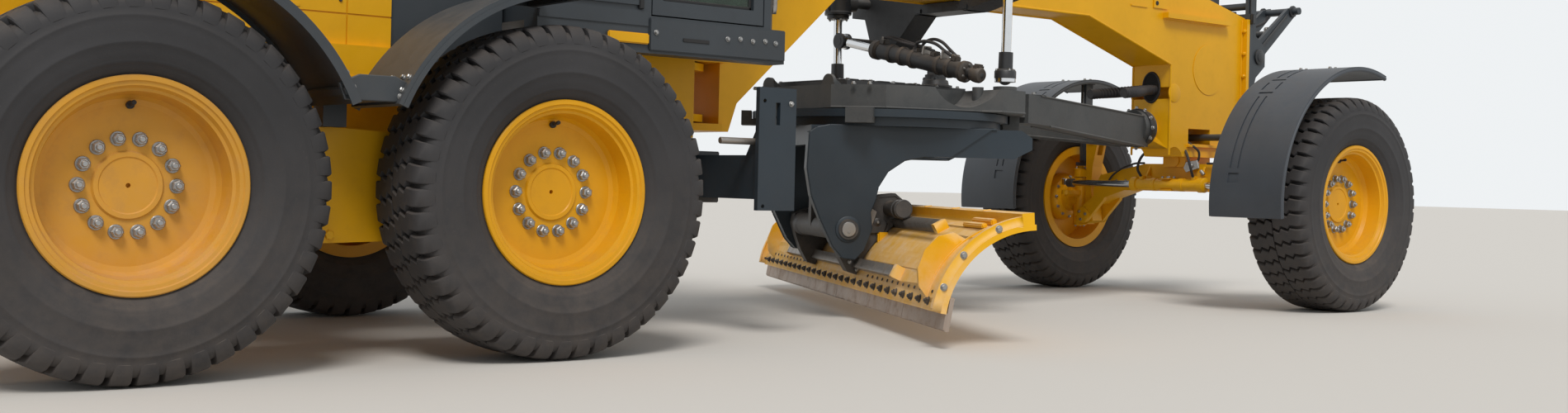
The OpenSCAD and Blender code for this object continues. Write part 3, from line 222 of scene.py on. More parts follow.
def repeated_mesh(name, unit, places, finish, base=None, place=machine):
    # one shape set at many places by a node tree. The base, where there is one, is joined to them.
    unit_object = new_object(name + "_unit", mesh_of(unit, name + "_unit", Matrix.Scale(0.001, 4)))
    base_object = new_object(name + "_base", base or bpy.data.meshes.new("none"))
    spots = bpy.data.meshes.new(name + "_spots")
    full = [place @ p for p in places]
    spots.from_pydata([tuple(m.to_translation()) for m in full], [], [])
    spots.attributes.new("turn", "FLOAT_VECTOR", "POINT")
    spots.attributes.new("size", "FLOAT", "POINT")
    for i, m in enumerate(full):
        spots.attributes["turn"].data[i].vector = m.to_euler()
        spots.attributes["size"].data[i].value = m.to_scale().x * 1000
    holder = new_object(name, spots)
    tree = bpy.data.node_groups.new(name + "_tree", "GeometryNodeTree")
    sockets = {}
    for label, kind in (("spots", "Geometry"), ("unit", "Object"), ("base", "Object"),
                        ("finish", "Material")):
        sockets[label] = tree.interface.new_socket(label, in_out="INPUT",
                                                   socket_type="NodeSocket" + kind).identifier
    tree.interface.new_socket("made", in_out="OUTPUT", socket_type="NodeSocketGeometry")
    add, join = tree.nodes.new, tree.links.new
    given, made = add("NodeGroupInput"), add("NodeGroupOutput")
    info, base_info = add("GeometryNodeObjectInfo"), add("GeometryNodeObjectInfo")
    scatter, real = add("GeometryNodeInstanceOnPoints"), add("GeometryNodeRealizeInstances")
    both, coat = add("GeometryNodeJoinGeometry"), add("GeometryNodeSetMaterial")
    for label, kind, socket in (("turn", "FLOAT_VECTOR", "Rotation"), ("size", "FLOAT", "Scale")):
        read = add("GeometryNodeInputNamedAttribute")
        read.data_type = kind
        read.inputs["Name"].default_value = label
        join(read.outputs["Attribute"], scatter.inputs[socket])
    join(given.outputs["unit"], info.inputs["Object"])
    join(given.outputs["base"], base_info.inputs["Object"])
    join(given.outputs["spots"], scatter.inputs["Points"])
    join(info.outputs["Geometry"], scatter.inputs["Instance"])
    join(scatter.outputs["Instances"], both.inputs[0])
    join(base_info.outputs["Geometry"], both.inputs[0])
    join(both.outputs[0], real.inputs[0])
    join(real.outputs[0], coat.inputs["Geometry"])
    join(given.outputs["finish"], coat.inputs["Material"])
    join(coat.outputs[0], made.inputs[0])
    repeat = holder.modifiers.new("repeat", "NODES")
    repeat.node_group = tree
    repeat[sockets["unit"]] = unit_object
    repeat[sockets["base"]] = base_object
    repeat[sockets["finish"]] = finish
    plain = finished_mesh(holder)
    plain.name = name
    for label in ("turn", "size"):
        if label in plain.attributes:
            plain.attributes.remove(plain.attributes[label])
    for made in (holder, unit_object, base_object):
        bpy.data.objects.remove(made)
    return plain


rubber = weathered("tyre_rubber", (0.027, 0.026, 0.028), rough=0.74, dust=0.28, fade=0.18,
                   grime=0.15, dust_colour=(0.150, 0.120, 0.098), bump=0.25, low=0.45, reach=0.9)
lug_count, lug_pitch = 46, 360 / 46
hub_z, tandem_x, front_x = 645, 785, 6200
# the casing's wall from the bead to the tread: radius, and place across the tyre
wall = [(322, 144), (352, 146), (362, 151), (369, 161), (381, 170), (392, 177), (396, 182),
        (403, 183), (407, 185), (430, 192), (452, 197), (456, 199.5), (461, 200), (466, 198.5),
        (492, 199.5), (520, 199), (536, 198), (540, 199.6), (545, 199.6), (549, 197), (566, 196),
        (580, 194), (588, 191), (600, 182), (610, 168), (616, 120), (618, 60)]


def round_angles(count, start=0.0, closed=False):
    return [start + 2 * pi * k / count for k in range(count + closed)]


def skin(shape, rows, ends=True):
    # a skin over rows of points that follow each other, closed round and mostly at its ends
    rows = [[shape.verts.new(point) for point in row] for row in rows]
    for one, two in zip(rows, rows[1:]):
        for i in range(len(one)):
            j = (i + 1) % len(one)
            shape.faces.new((one[i], one[j], two[j], two[i]))
    if ends:
        shape.faces.new(rows[0][::-1])
        shape.faces.new(rows[-1])


def turn_by(degrees, axis):
    return Matrix.Rotation(radians(degrees), 4, axis)


casing = bmesh.new()
profile = wall + [(618, 0)] + [(r, -y) for r, y in reversed(wall)]
rings = [[(r * cos(a), y, r * sin(a)) for a in round_angles(2 * lug_count)] for r, y in profile]
skin(casing, rings + rings[:1], ends=False)
casing_mesh = mesh_of(casing, "tyre_casing", Matrix.Scale(0.001, 4), 50)
# a lug's rows from the middle of the tread: place across and radius outside, the same inside the
# casing, and its step round the tyre and half its width in degrees
lug_rows = [(3, 644.6, 3, 608, 0.0, 3.15), (40, 644.6, 40, 608, -1.5, 3.15),
            (54, 644.4, 54, 608, 1.0, 3.15), (98, 643.8, 98, 607, -0.5, 3.15),
            (112, 643, 111, 606, 1.4, 3.1), (146, 640, 140, 603, 0.9, 3.05),
            (166, 633, 154, 598, 0.8, 3.0), (181, 619, 164, 588, 0.8, 2.95),
            (190, 602, 170, 576, 0.8, 2.85), (195, 584, 175, 562, 0.8, 2.7),
            (196, 568, 178, 548, 0.8, 2.3)]
lugs = bmesh.new()
for s in (1, -1):
    rows = []
    for y, r, y_in, r_in, step, half in lug_rows:
        step = s * step + (lug_pitch / 4) * s
        row = []
        for place_y, radius, turn in ((y_in, r_in, -half - 0.25), (y, r - 5, -half),
                                      (y, r, -half + 0.45), (y, r, half - 0.45), (y, r - 5, half),
                                      (y_in, r_in, half + 0.25)):
            a = radians(step + turn - 90)
            row.append((radius * cos(a), s * place_y, radius * sin(a)))
        rows.append(row)
    skin(lugs, rows)
turns = [turn_by(lug_pitch * i, "Y") for i in range(lug_count)]
tyre_mesh = repeated_mesh("tyre", lugs, turns, rubber, casing_mesh, Matrix.Scale(0.001, 4))
wheels = [("rear_left_back", -tandem_x, 1020, 1), ("rear_left_front", tandem_x, 1020, 1),
          ("rear_right_back", -tandem_x, -1020, -1), ("rear_right_front", tandem_x, -1020, -1),
          ("front_left", front_x, 1080, 1), ("front_right", front_x, -1080, -1)]


def wheel_place(x, y, s, spin=0.0):
    facing_out = turn_by(0 if s > 0 else 180, "Z")
    rolled = turn_by(spin, "Y")
    return machine @ Matrix.Translation((x, y, hub_z)) @ (facing_out @ rolled)


for i, (name, x, y, s) in enumerate(wheels):
    made = new_object("tyre_tread_" + name, tyre_mesh.copy())
    made.data.transform(wheel_place(x, y, s, 3.1 * i) @ Matrix.Scale(1000, 4))
    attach(made, "wheel_" + name)
    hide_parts("tyre_" + name)

# Rims: pressed discs welded into rolled barrels, sprayed yellow. Each is held by fourteen plated
# nuts with round washers on its studs, and has a rubber valve in a hole near the edge of the
# disc.


def dress(finish, *names):
    for name in names:
        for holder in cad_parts[name].material_slots:
            holder.material = finish


def facing_way(position, direction, spin=0.0, size=1.0):
    quat = Vector(direction).to_track_quat("Z", "Y")
    turn = quat.to_matrix().to_4x4() @ Matrix.Rotation(spin, 4, "Z")
    return Matrix.Translation(position) @ turn @ Matrix.Scale(size, 4)


def turned(shape, start, end, profile, sides=32):
    # a round piece: each row of its profile is a distance from the start, and a radius
    start, end = Vector(start), Vector(end)
    axis = (end - start).normalized()
    side = axis.orthogonal().normalized()
    other = axis.cross(side)
    rings = []
    for along, radius in profile:
        centre = start + axis * along
        if radius < 0.01:
            rings.append([shape.verts.new(centre)])
            continue
        rings.append([shape.verts.new(centre + (side * cos(a) + other * sin(a)) * radius)
                      for a in round_angles(sides)])
    for one, two in zip(rings, rings[1:]):
        for i in range(sides):
            j = (i + 1) % sides
            corners = [one[i % len(one)], one[j % len(one)], two[j % len(two)], two[i % len(two)]]
            corners = list(dict.fromkeys(corners))
            if len(corners) > 2:
                shape.faces.new(corners)
    for ring in (rings[0], rings[-1]):
        if len(ring) > 2:
            shape.faces.new(ring)


def bar(shape, start, end, radius, sides=24, edge=2.0):
    length = (Vector(end) - Vector(start)).length
    edge = min(edge, radius * 0.4, length * 0.3)
    turned(shape, start, end, [(0, radius - edge), (edge, radius), (length - edge, radius),
                               (length, radius - edge)], sides)


def piece(name, shape, finish, body, place=machine, sharp=35):
    made = new_object(name, mesh_of(shape, name, place, sharp))
    made.data.materials.append(finish)
    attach(made, body)
    return made


def repeated(name, unit, places, finish, body, place=machine):
    made = new_object(name, repeated_mesh(name, unit, places, finish, None, place))
    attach(made, body)
    return made


plated = weathered("plated_nuts", (0.36, 0.36, 0.355), rough=0.36, metal=0.85, dust=0.25, fade=0.1,
                   grime=0.25, grime_colour=(0.16, 0.13, 0.10), bump=0.1, low=0.1)
rim_yellow = weathered("rim_yellow", (0.74, 0.35, 0.003), rough=0.40, dust=0.10, fade=0.07,
                       grime=0.16, grime_colour=(0.40, 0.17, 0.01), coat=0.04, bump=0.06, low=0.12,
                       shine=0.3)
# the nearest rear rim: a darker copy of the rim yellow, which is painted shade, with real dust over
# it
shade_and_dust_yellow = weathered("rim_yellow_painted_shade_and_dust", (0.62, 0.29, 0.012), rough=0.55, dust=0.34, fade=0.10,
                         grime=0.25, dust_colour=(0.62, 0.33, 0.12),
                         grime_colour=(0.28, 0.13, 0.02), bump=0.12, low=0.5)
dress(rim_yellow, "rim_rear_left_back", "rim_rear_left_front", "rim_rear_right_front",
      "rim_front_left", "rim_front_right")
dress(shade_and_dust_yellow, "rim_rear_right_back")
disc_y, stud_circle, stud_count, valve_at = 30, 155, 14, 262
for name, x, y, s in wheels:
    nut = bmesh.new()
    turned(nut, (0, 0, -2), (0, 0, 1), [(0, 25), (5, 25), (7, 23)], 20)
    turned(nut, (0, 0, 4), (0, 0, 30), [(0, 20.5), (20, 20.5), (24, 16)], 6)
    turned(nut, (0, 0, 20), (0, 0, 50), [(0, 11), (14, 11), (17, 8)], 12)
    spots = [facing_way((stud_circle * cos(a), disc_y, stud_circle * sin(a)), (0, 1, 0), 0.4 * i)
             for i, a in enumerate(round_angles(stud_count))]
    repeated("wheel_nuts_" + name, nut, spots, plated, "wheel_" + name, place=wheel_place(x, y, s))
    trim = bmesh.new()
    bar(trim, (0, disc_y - 2, valve_at), (0, disc_y + 14, valve_at), 13)
    bar(trim, (0, disc_y + 10, valve_at), (0, disc_y + 44, valve_at + 6), 6)
    turned(trim, (0, disc_y + 40, 267.3), (0, disc_y + 60, 271), [(0, 8), (12, 8), (14, 6)], 12)
    piece("valve_" + name, trim, rubber, "wheel_" + name, wheel_place(x, y, s))

# Rear chassis and engine hood: folded sheet and plate in yellow, held by plated bolts. The side
# doors of the hood are shut by black latches, and a screen of woven wire stands behind the
# grille.
yellow = weathered("yellow_paint", (0.80, 0.405, 0.002), rough=0.38, dust=0.04, fade=0.06,
                   grime=0.14, grime_colour=(0.46, 0.20, 0.003), coat=0.04, bump=0.05, shine=0.28)
charcoal = weathered("charcoal_paint", (0.030, 0.038, 0.046), rough=0.46, dust=0.13, fade=0.12,
                     grime=0.2, bump=0.08)
casting = weathered("black_casting", (0.022, 0.024, 0.027), rough=0.5, dust=0.24, fade=0.2,
                    grime=0.3, bump=0.3)
plastic = weathered("moulded_plastic", (0.040, 0.044, 0.050), rough=0.58, dust=0.12, fade=0.08,
                    grime=0.12, bump=0.12)


def bolt_ring(centre, radius, angles, way, size=1.0):
    # bolts on a circle that lies square to the way they point
    spots = []
    first, second = [i for i in range(3) if not way[i]]
    for a in angles:
        spot = Vector(centre)
        spot[first] += radius * cos(a)
        spot[second] += radius * sin(a)
        spots.append(facing_way(spot, way, a, size))
    return spots


def slab(shape, low, high, edge=3.0, place=None, segments=2):
    # a block between any two opposite corners, its edges rounded
    sizes = [sorted(ends) for ends in zip(low, high)]
    corners = [shape.verts.new((x, y, z)) for x in sizes[0] for y in sizes[1] for z in sizes[2]]
    for quad in ((0, 1, 3, 2), (4, 6, 7, 5), (0, 4, 5, 1), (2, 3, 7, 6), (0, 2, 6, 4),
                 (1, 5, 7, 3)):
        shape.faces.new([corners[i] for i in quad])
    edges = list({e for v in corners for e in v.link_edges})
    fresh = list(corners)
    if edge:
        made = bmesh.ops.bevel(shape, geom=edges, offset=edge, segments=segments, affect="EDGES")
        fresh = list({v for f in made["faces"] for v in f.verts})
    if place:
        bmesh.ops.transform(shape, matrix=place, verts=fresh)


def hex_bolt(size=12.0, tall=9.0):
    head = bmesh.new()
    turned(head, (0, 0, -1), (0, 0, 10), [(0, size * 1.3), (3.5, size * 1.3), (4.5, size * 1.2)],
           16)
    turned(head, (0, 0, 2), (0, 0, 20), [(0, size), (tall, size), (tall + 3, size * 0.72)], 6)
    return head


black_bolts = weathered("black_bolts", (0.035, 0.034, 0.034), rough=0.45, metal=0.5, dust=0.25,
                        fade=0.1, grime=0.2, bump=0.1)
dress(yellow, "rear_frame", "engine_hood")
dress(charcoal, "tank_bay")
dress(casting, "engine_block", "rear_grille", "exhaust_stacks")
hood = bmesh.new()
for s in (1, -1):
    for x in (-1160, -540, 160):
        slab(hood, (x + 16, s * 558, 1500), (x + 60, s * 570, 1530), 4)
        bar(hood, (x + 38, s * 565, 1515), (x + 38, s * 578, 1515), 8, 16)
    for x in (-1150, -590, -530, 120):
        for z in (1370, 1860):
            bar(hood, (x, s * 557, z), (x, s * 566, z), 7, 12)
piece("hood_latches", hood, plastic, "rear")
hood_lines = bmesh.new()
for s in (1, -1):
    slab(hood_lines, (-1650, s * 585, 1064), (325, s * 592, 1080), 2)
    for x in (-1690, -1100, -480):
        slab(hood_lines, (x, s * 559, 1330), (x + (440 if x > -1200 else 30), s * 563, 1345), 1.5)
slab(hood_lines, (-1600, -420, 1999), (-980, 420, 2012), 5)
slab(hood_lines, (-520, -420, 1999), (240, 420, 2012), 5)
piece("hood_folds", hood_lines, yellow, "rear")
screen = bmesh.new()
for k in range(24):
    y = -440 + k * 38.2
    bar(screen, (-1762, y, 1130), (-1762, y, 1880), 2.2, 6, 0)
for k in range(20):
    z = 1135 + k * 39
    bar(screen, (-1759, -440, z), (-1759, 440, z), 2.2, 6, 0)
piece("radiator_screen", screen, black_bolts, "rear")
rear_bolts = [facing_way((-1710, y, 929), (0, 0, 1), 0.3 * y)
              for y in (-860, -620, -380, 380, 620, 860)]
rear_bolts += [facing_way((x, s * 588, 1128), (0, s, 0), x) for s in (1, -1)
               for x in range(-1560, 300, 230)]
repeated("chassis_bolts", hex_bolt(11, 8), rear_bolts, plated, "rear")
hitch = bmesh.new()
slab(hitch, (-1796, -90, 624), (-1650, 90, 642), 4)
for z in (560, 606):
    slab(hitch, (-1790, -60, z - 9), (-1660, 60, z + 9), 4)
for y in (-52, 52):
    slab(hitch, (-1700, y - 8, 556), (-1660, y + 8, 630), 3)
bar(hitch, (-1755, 0, 536), (-1755, 0, 640), 16)
bar(hitch, (-1755, 0, 628), (-1755, 0, 636), 26)
piece("rear_tow_pin", hitch, casting, "rear")
caps = bmesh.new()
turned(caps, (150, -300, 2000), (150, -300, 2060),
       [(0, 58), (26, 58), (32, 52), (34, 30), (40, 28), (42, 0)], 32)
turned(caps, (600, -400, 1940), (600, -400, 2010),
       [(0, 70), (8, 70), (10, 52), (38, 52), (44, 44), (46, 0)], 32)
turned(caps, (560, 380, 1940), (560, 380, 2010),
       [(0, 48), (8, 48), (10, 40), (30, 40), (34, 30), (36, 0)], 32)
slab(caps, (400, -200, 1938), (800, 220, 1952), 5)
piece("tank_caps", caps, casting, "rear")
stacks = bmesh.new()
turned(stacks, (-700, 180, 2300), (-700, 180, 2735),
       [(0, 70), (6, 92), (12, 70), (14, 62), (380, 62), (390, 66), (400, 62), (419, 60), (419, 52),
        (300, 50), (300, 0)], 32)
turned(stacks, (-300, -180, 2195), (-300, -180, 2362),
       [(0, 70), (4, 114), (30, 116), (34, 110), (60, 110), (64, 116), (94, 116), (98, 110),
        (130, 110), (134, 116), (160, 112), (166, 90), (167, 0)], 32)
for a in round_angles(5):
    x, y = -700 + 92 * cos(a), 180 + 92 * sin(a)
    bar(stacks, (x, y, 2020), (x, y, 2290), 5, 8)
piece("stack_covers", stacks, black_bolts, "rear")

# Tandem drive: cast and welded cases with bolted hub housings. A ring of bolts closes each hub
# and the axle's middle, and plugs sit low in the side of each case.
dress(yellow, "tandem_drive")
tandem = bmesh.new()
for s in (1, -1):
    for x in (-tandem_x, tandem_x):
        turned(tandem, (x, s * 790, hub_z), (x, s * 860, hub_z),
               [(0, 168), (10, 168), (14, 160), (40, 150), (60, 136), (70, 136)], 48)
    for x, z in ((0, 470), (330, 560), (-330, 560)):
        bar(tandem, (x, s * 792, z), (x, s * 806, z), 18, 6)
    turned(tandem, (0, s * 430, hub_z), (0, s * 605, hub_z),
           [(0, 165), (10, 190), (26, 190), (32, 172), (140, 172), (146, 205), (172, 205),
            (175, 200)], 48)
piece("tandem_housings", tandem, yellow, "rear")
spots = []
for s in (1, -1):
    for x in (-tandem_x, tandem_x):
        spots += bolt_ring((x, s * 802, hub_z), 152, round_angles(12), (0, s, 0))
    spots += bolt_ring((0, s * 576, hub_z), 192, round_angles(16), (0, -s, 0))
repeated("tandem_bolts", hex_bolt(10, 8), spots, plated, "rear")

# Rear fenders: rolled steel sheet with a folded lip along its outer edge. Brackets with plated
# bolts hold it to the plate on the chain case, and stiffening bars run below it.


def cut_plate(shape, outline, low, high, edge=0.0, place=None):
    # a plate cut to an outline in X and Z, between two places across the machine
    sides = [[shape.verts.new((x, y, z)) for x, z in outline] for y in sorted((low, high))]
    faces = [shape.faces.new(sides[0]), shape.faces.new(sides[1][::-1])]
    count = len(outline)
    for i in range(count):
        j = (i + 1) % count
        faces.append(shape.faces.new((sides[0][i], sides[1][i], sides[1][j], sides[0][j])))
    fresh = sides[0] + sides[1]
    if edge:
        rims = list({e for f in faces[:2] for e in f.edges})
        made = bmesh.ops.bevel(shape, geom=rims, offset=edge, segments=1, affect="EDGES")
        fresh = list({v for f in made["faces"] for v in f.verts})
    if place:
        bmesh.ops.transform(shape, matrix=place, verts=fresh)


def arc_rows(x, z, a0, a1, steps, radii, widths):
    # the four corners of a bent strip at each step round a centre in X and Z
    (low, high), (y0, y1) = radii, widths
    angles = [radians(a0 + (a1 - a0) * i / steps) for i in range(steps + 1)]
    return [[(x + r * cos(a), y, z + r * sin(a))
             for r, y in ((low, y0), (low, y1), (high, y1), (high, y0))] for a in angles]


dress(charcoal, "rear_fenders")
fender = bmesh.new()
for s in (1, -1):
    for x, a0, a1 in ((tandem_x, 84, 157), (-tandem_x, 23, 112)):
        for low, high, y0, y1 in ((742, 761.5, 1221, 1230), (742, 759, 803, 810)):
            skin(fender, arc_rows(x, hub_z, a0, a1, 40, (low, high), (s * y0, s * y1)))
        for a in (a0 + 4, (a0 + a1) / 2, a1 - 4):
            turn = Matrix.Translation((x, 0, hub_z)) @ turn_by(-a, "Y")
            slab(fender, (740, s * 815, -14), (759.5, s * 1222, 14), 2, turn)
    cut_plate(fender, [(-100, 1000), (100, 1000), (60, 1050), (-60, 1050)], s * 860, s * 885, 3)
    cut_plate(fender, [(-118, 955), (118, 955), (140, 1012), (66, 1046), (-66, 1046), (-140, 1012)],
              s * 1180, s * 1200, 3)
    slab(fender, (-70, s * 840, 958), (70, s * 1190, 974), 3)
piece("fender_lips", fender, charcoal, "rear")
spots = [facing_way((x, s * 1201, z), (0, s, 0), x) for s in (1, -1)
         for x, z in ((-112, 1000), (-84, 975), (84, 975), (112, 1000))]
for s in (1, -1):
    for x, angles in ((tandem_x, (153, 149)), (-tandem_x, (27, 31))):
        for a in angles:
            along, rise = cos(radians(a)), sin(radians(a))
            spots += [facing_way((x + 778 * along, s * y, hub_z + 778 * rise), (along, 0, rise), y)
                      for y in (1010, 1060, 1150, 1200)]
repeated("fender_bolts", hex_bolt(9, 7), spots, plated, "rear")

# Cab: a welded frame with rubber-edged panes of green tinted glass. The roof has a moulded cap,
# and the base beam under the doors is bolted on with plated bolts.
bare_steel = weathered("bare_steel", (0.34, 0.32, 0.30), rough=0.42, metal=0.85, dust=0.45,
                       fade=0.12, grime=0.5, grime_colour=(0.10, 0.07, 0.05), bump=0.25)


def hose(shape, points, radius, sides=12, fine=8):
    # a tube through its points, on a smooth curve
    pts = [Vector(p) for p in points]
    pts = [pts[0] * 2 - pts[1]] + pts + [pts[-1] * 2 - pts[-2]]
    path = []
    for a, b, c, d in zip(pts, pts[1:], pts[2:], pts[3:]):
        for k in range(fine):
            t = k / fine
            path.append(0.5 * ((2 * b) + (c - a) * t + (2 * a - 5 * b + 4 * c - d) * t * t
                               + (3 * b - a - 3 * c + d) * t ** 3))
    path.append(pts[-2])
    side = (path[1] - path[0]).orthogonal().normalized()
    rows = []
    for i, centre in enumerate(path):
        way = (path[min(i + 1, len(path) - 1)] - path[max(i - 1, 0)]).normalized()
        side = (side - way * side.dot(way)).normalized()
        other = way.cross(side)
        rows.append([centre + (side * cos(a) + other * sin(a)) * radius
                     for a in round_angles(sides)])
    skin(shape, rows)


seal = weathered("rubber_seal", (0.012, 0.012, 0.013), rough=0.7, dust=0.12, fade=0.1, grime=0.1,
                 bump=0.15)
dress(charcoal, "cab_frame")
glass = bpy.data.materials.new("tinted_glass")
glass.use_nodes = True
glass_nodes, glass_links = glass.node_tree.nodes, glass.node_tree.links
pane = glass_nodes["Principled BSDF"]
pane.inputs["Transmission Weight"].default_value = 0.80
pane.inputs["IOR"].default_value = 1.45
pane.inputs["Roughness"].default_value = 0.03
glass_place = add_node(glass_nodes, "TexCoord")
smear = add_node(glass_nodes, "TexNoise", Scale=5, Detail=6)
tint = add_node(glass_nodes, "Mix")
tint.data_type = "RGBA"
tint.inputs[6].default_value = (0.055, 0.105, 0.065, 1)
tint.inputs[7].default_value = (0.10, 0.17, 0.11, 1)
glass_links.new(glass_place.outputs["Object"], smear.inputs["Vector"])
glass_links.new(smear.outputs["Fac"], tint.inputs[0])
glass_links.new(tint.outputs[2], pane.inputs["Base Color"])
dress(glass, "cab_glass")
glass_y, glass_top = 774, 3009
seals = bmesh.new()


def pane_seal(shape, a, b, u, v, thick=14, deep=10):
    # a rubber channel round a pane: two corners, and the two directions that it runs in
    a, b, u, v = Vector(a), Vector(b), Vector(u), Vector(v)
    w = u.cross(v)
    size = Vector(((b - a).dot(u), (b - a).dot(v)))
    for low, high in (((0, 0), (size.x, thick)), ((0, size.y - thick), (size.x, size.y)),
                      ((0, 0), (thick, size.y)), ((size.x - thick, 0), (size.x, size.y))):
        turn = Matrix((u, v, w)).transposed().to_4x4()
        turn.translation = a
        slab(shape, (low[0], low[1], -deep), (high[0], high[1], deep), 2.5, turn, 1)


for s in (1, -1):
    pane_seal(seals, (961, s * glass_y, 1951), (1329, s * glass_y, glass_top), (1, 0, 0), (0, 0, 1))
pane_seal(seals, (2124, -579, 1446), (2124, 579, glass_top), (0, 1, 0), (0, 0, 1))
pane_seal(seals, (884, -659, 2081), (884, 659, glass_top), (0, 1, 0), (0, 0, 1))
piece("pane_seals", seals, seal, "rear")
roof = bmesh.new()
slab(roof, (868, -780, 3190), (2120, 780, 3232), 18, segments=3)
slab(roof, (1000, -560, 3225), (1960, 560, 3252), 14, segments=3)
for y in range(-500, 501, 100):
    slab(roof, (1060, y - 12, 3248), (1900, y + 12, 3260), 4, segments=1)
slab(roof, (2100, -690, 3090), (2149, 690, 3186), 8)
piece("roof_cap", roof, charcoal, "rear")
base = bmesh.new()
for s in (1, -1):
    slab(base, (1390, s * 800, 1252), (2128, s * 811, 1392), 4)
    slab(base, (852, s * 800, 1352), (1385, s * 806, 1420), 3)
    slab(base, (846, s * 690, 1940), (852, s * 800, 3090), 2)
piece("cab_base_beams", base, charcoal, "rear")
strip = bmesh.new()
for s in (1, -1):
    slab(strip, (1180, s * 800, 1276), (1384, s * 816, 1322), 5)
piece("cab_strips", strip, yellow, "rear")
spots = [facing_way((x, s * 811, z), (0, s, 0), x) for s in (1, -1)
         for x, z in ((1420, 1330), (1800, 1330), (1870, 1335), (1940, 1330), (2010, 1335),
                      (2070, 1330))]
repeated("cab_bolts", hex_bolt(9, 6), spots, plated, "rear")
cab_trim = bmesh.new()
for s in (1, -1):
    # the slot plate, the frame of the lower panel and the feet of the grab rail
    slab(cab_trim, (1560, s * 811, 1300), (1700, s * 815, 1316), 1.5)
    for x in (862, 1332):
        slab(cab_trim, (x, s * 800, 1424), (x + 24, s * 815, 1910), 3)
    slab(cab_trim, (862, s * 800, 1908), (1356, s * 815, 1930), 3)
    slab(cab_trim, (2136, s * 640, 1486), (2156, s * 660, 1514), 3)
    for z in (1500, 2200):
        turned(cab_trim, (2150, s * 650, z), (2160, s * 650, z), [(0, 30), (6, 30), (8, 27)], 24)
piece("cab_trim", cab_trim, seal, "rear")
rails = bmesh.new()
for s in (1, -1):
    hose(rails, [(2150, s * 650, 1500), (2172, s * 650, 1500), (2181, s * 650, 1512),
                 (2182, s * 650, 1600), (2182, s * 650, 2100), (2181, s * 650, 2188),
                 (2172, s * 650, 2200), (2150, s * 650, 2200)], 16, 16)
piece("front_grab_rails", rails, bare_steel, "rear")
wiper = bmesh.new()
bar(wiper, (2146, 0, 1400), (2172, 0, 1400), 22)
bar(wiper, (2164, 0, 1400), (2158, 210, 1900), 8, 12)
slab(wiper, (2130, 196, 1640), (2146, 216, 2240), 3)
slab(wiper, (2140, 200, 1890), (2160, 214, 1920), 3)
bar(wiper, (852, 0, 3060), (834, 0, 3060), 18)
bar(wiper, (840, 0, 3060), (840, 150, 2640), 6, 12)
slab(wiper, (846, 142, 2440), (858, 156, 2860), 3)
piece("wipers", wiper, black_bolts, "rear")

# Doors: a folded frame round one tall pane, hung at the rear edge. A black handle and lock stand
# on the front edge outside, and a pull bar runs across inside.


def two_finishes(name, node, body, finishes, has_second, sharp=None):
    # a copy of a CAD piece, with a second finish on some of its faces
    shape = bmesh.new()
    shape.from_mesh(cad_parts[node].data)
    bmesh.ops.remove_doubles(shape, verts=shape.verts, dist=0.00005)
    for face in shape.faces:
        if has_second(face):
            face.material_index = 1
    mesh = bpy.data.meshes.new(name)
    shape.to_mesh(mesh)
    shape.free()
    for finish in finishes:
        mesh.materials.append(finish)
    if sharp:
        for face in mesh.polygons:
            face.use_smooth = True
        mesh.set_sharp_from_angle(angle=radians(sharp))
    made = new_object(name, mesh)
    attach(made, body)
    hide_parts(node)


def is_pane(face):
    # a face of either door's pane, which lies in this box, with a little play
    low, high = machine @ Vector((1459.9, 769.5, 1469.5)), machine @ Vector((1950.1, 778.5, 2940.5))
    return all(low.x < v.co.x < high.x and low.y < abs(v.co.y) < high.y and low.z < v.co.z < high.z
               for v in face.verts)


for side, s in (("left", 1), ("right", -1)):
    two_finishes("door_panel_" + side, "door_" + side, "door_" + side, (charcoal, glass), is_pane)
    fittings = bmesh.new()
    pane_seal(fittings, (1461, s * glass_y, 1471), (1949, s * glass_y, 2939), (1, 0, 0), (0, 0, 1))
    slab(fittings, (1962, s * 800, 1700), (1996, s * 812, 1880), 4)
    hose(fittings, [(1979, s * 806, 1725), (1979, s * 832, 1735), (1979, s * 838, 1790),
                    (1979, s * 832, 1845), (1979, s * 806, 1855)], 9, 12)
    bar(fittings, (1979, s * 810, 1700), (1979, s * 818, 1700), 11)
    hose(fittings, [(1480, s * 742, 1760), (1500, s * 700, 1760), (1700, s * 696, 1760),
                    (1900, s * 700, 1760), (1930, s * 742, 1760)], 10, 12)
    piece("door_fittings_" + side, fittings, seal, "door_" + side)

# Operator's seat: foam cushions in black cloth on a pressed pan, with a suspension under a rubber
# bellows. The foam swells a little in its cloth, and arm rests stand beside it.
dress(casting, "operator_seat")
cloth = weathered("seat_cloth", (0.020, 0.021, 0.024), rough=0.9, dust=0.08, fade=0.15, grime=0.1,
                  bump=0.3)
cloth_nodes, cloth_links = cloth.node_tree.nodes, cloth.node_tree.links
weave = add_node(cloth_nodes, "TexChecker", Scale=420)
weave_relief = add_node(cloth_nodes, "Bump", Strength=0.35, Distance=0.001)
cloth_place = next(n for n in cloth_nodes if n.type == "TEX_COORD")
cloth_shader = cloth_nodes["Principled BSDF"]
cloth_links.new(cloth_place.outputs["Object"], weave.inputs["Vector"])
cloth_links.new(weave.outputs["Fac"], weave_relief.inputs["Height"])
cloth_links.new(cloth_shader.inputs["Normal"].links[0].from_socket, weave_relief.inputs["Normal"])
cloth_links.new(weave_relief.outputs[0], cloth_shader.inputs["Normal"])


voxel, last_frame, swell = 0.012, 12, 0.012


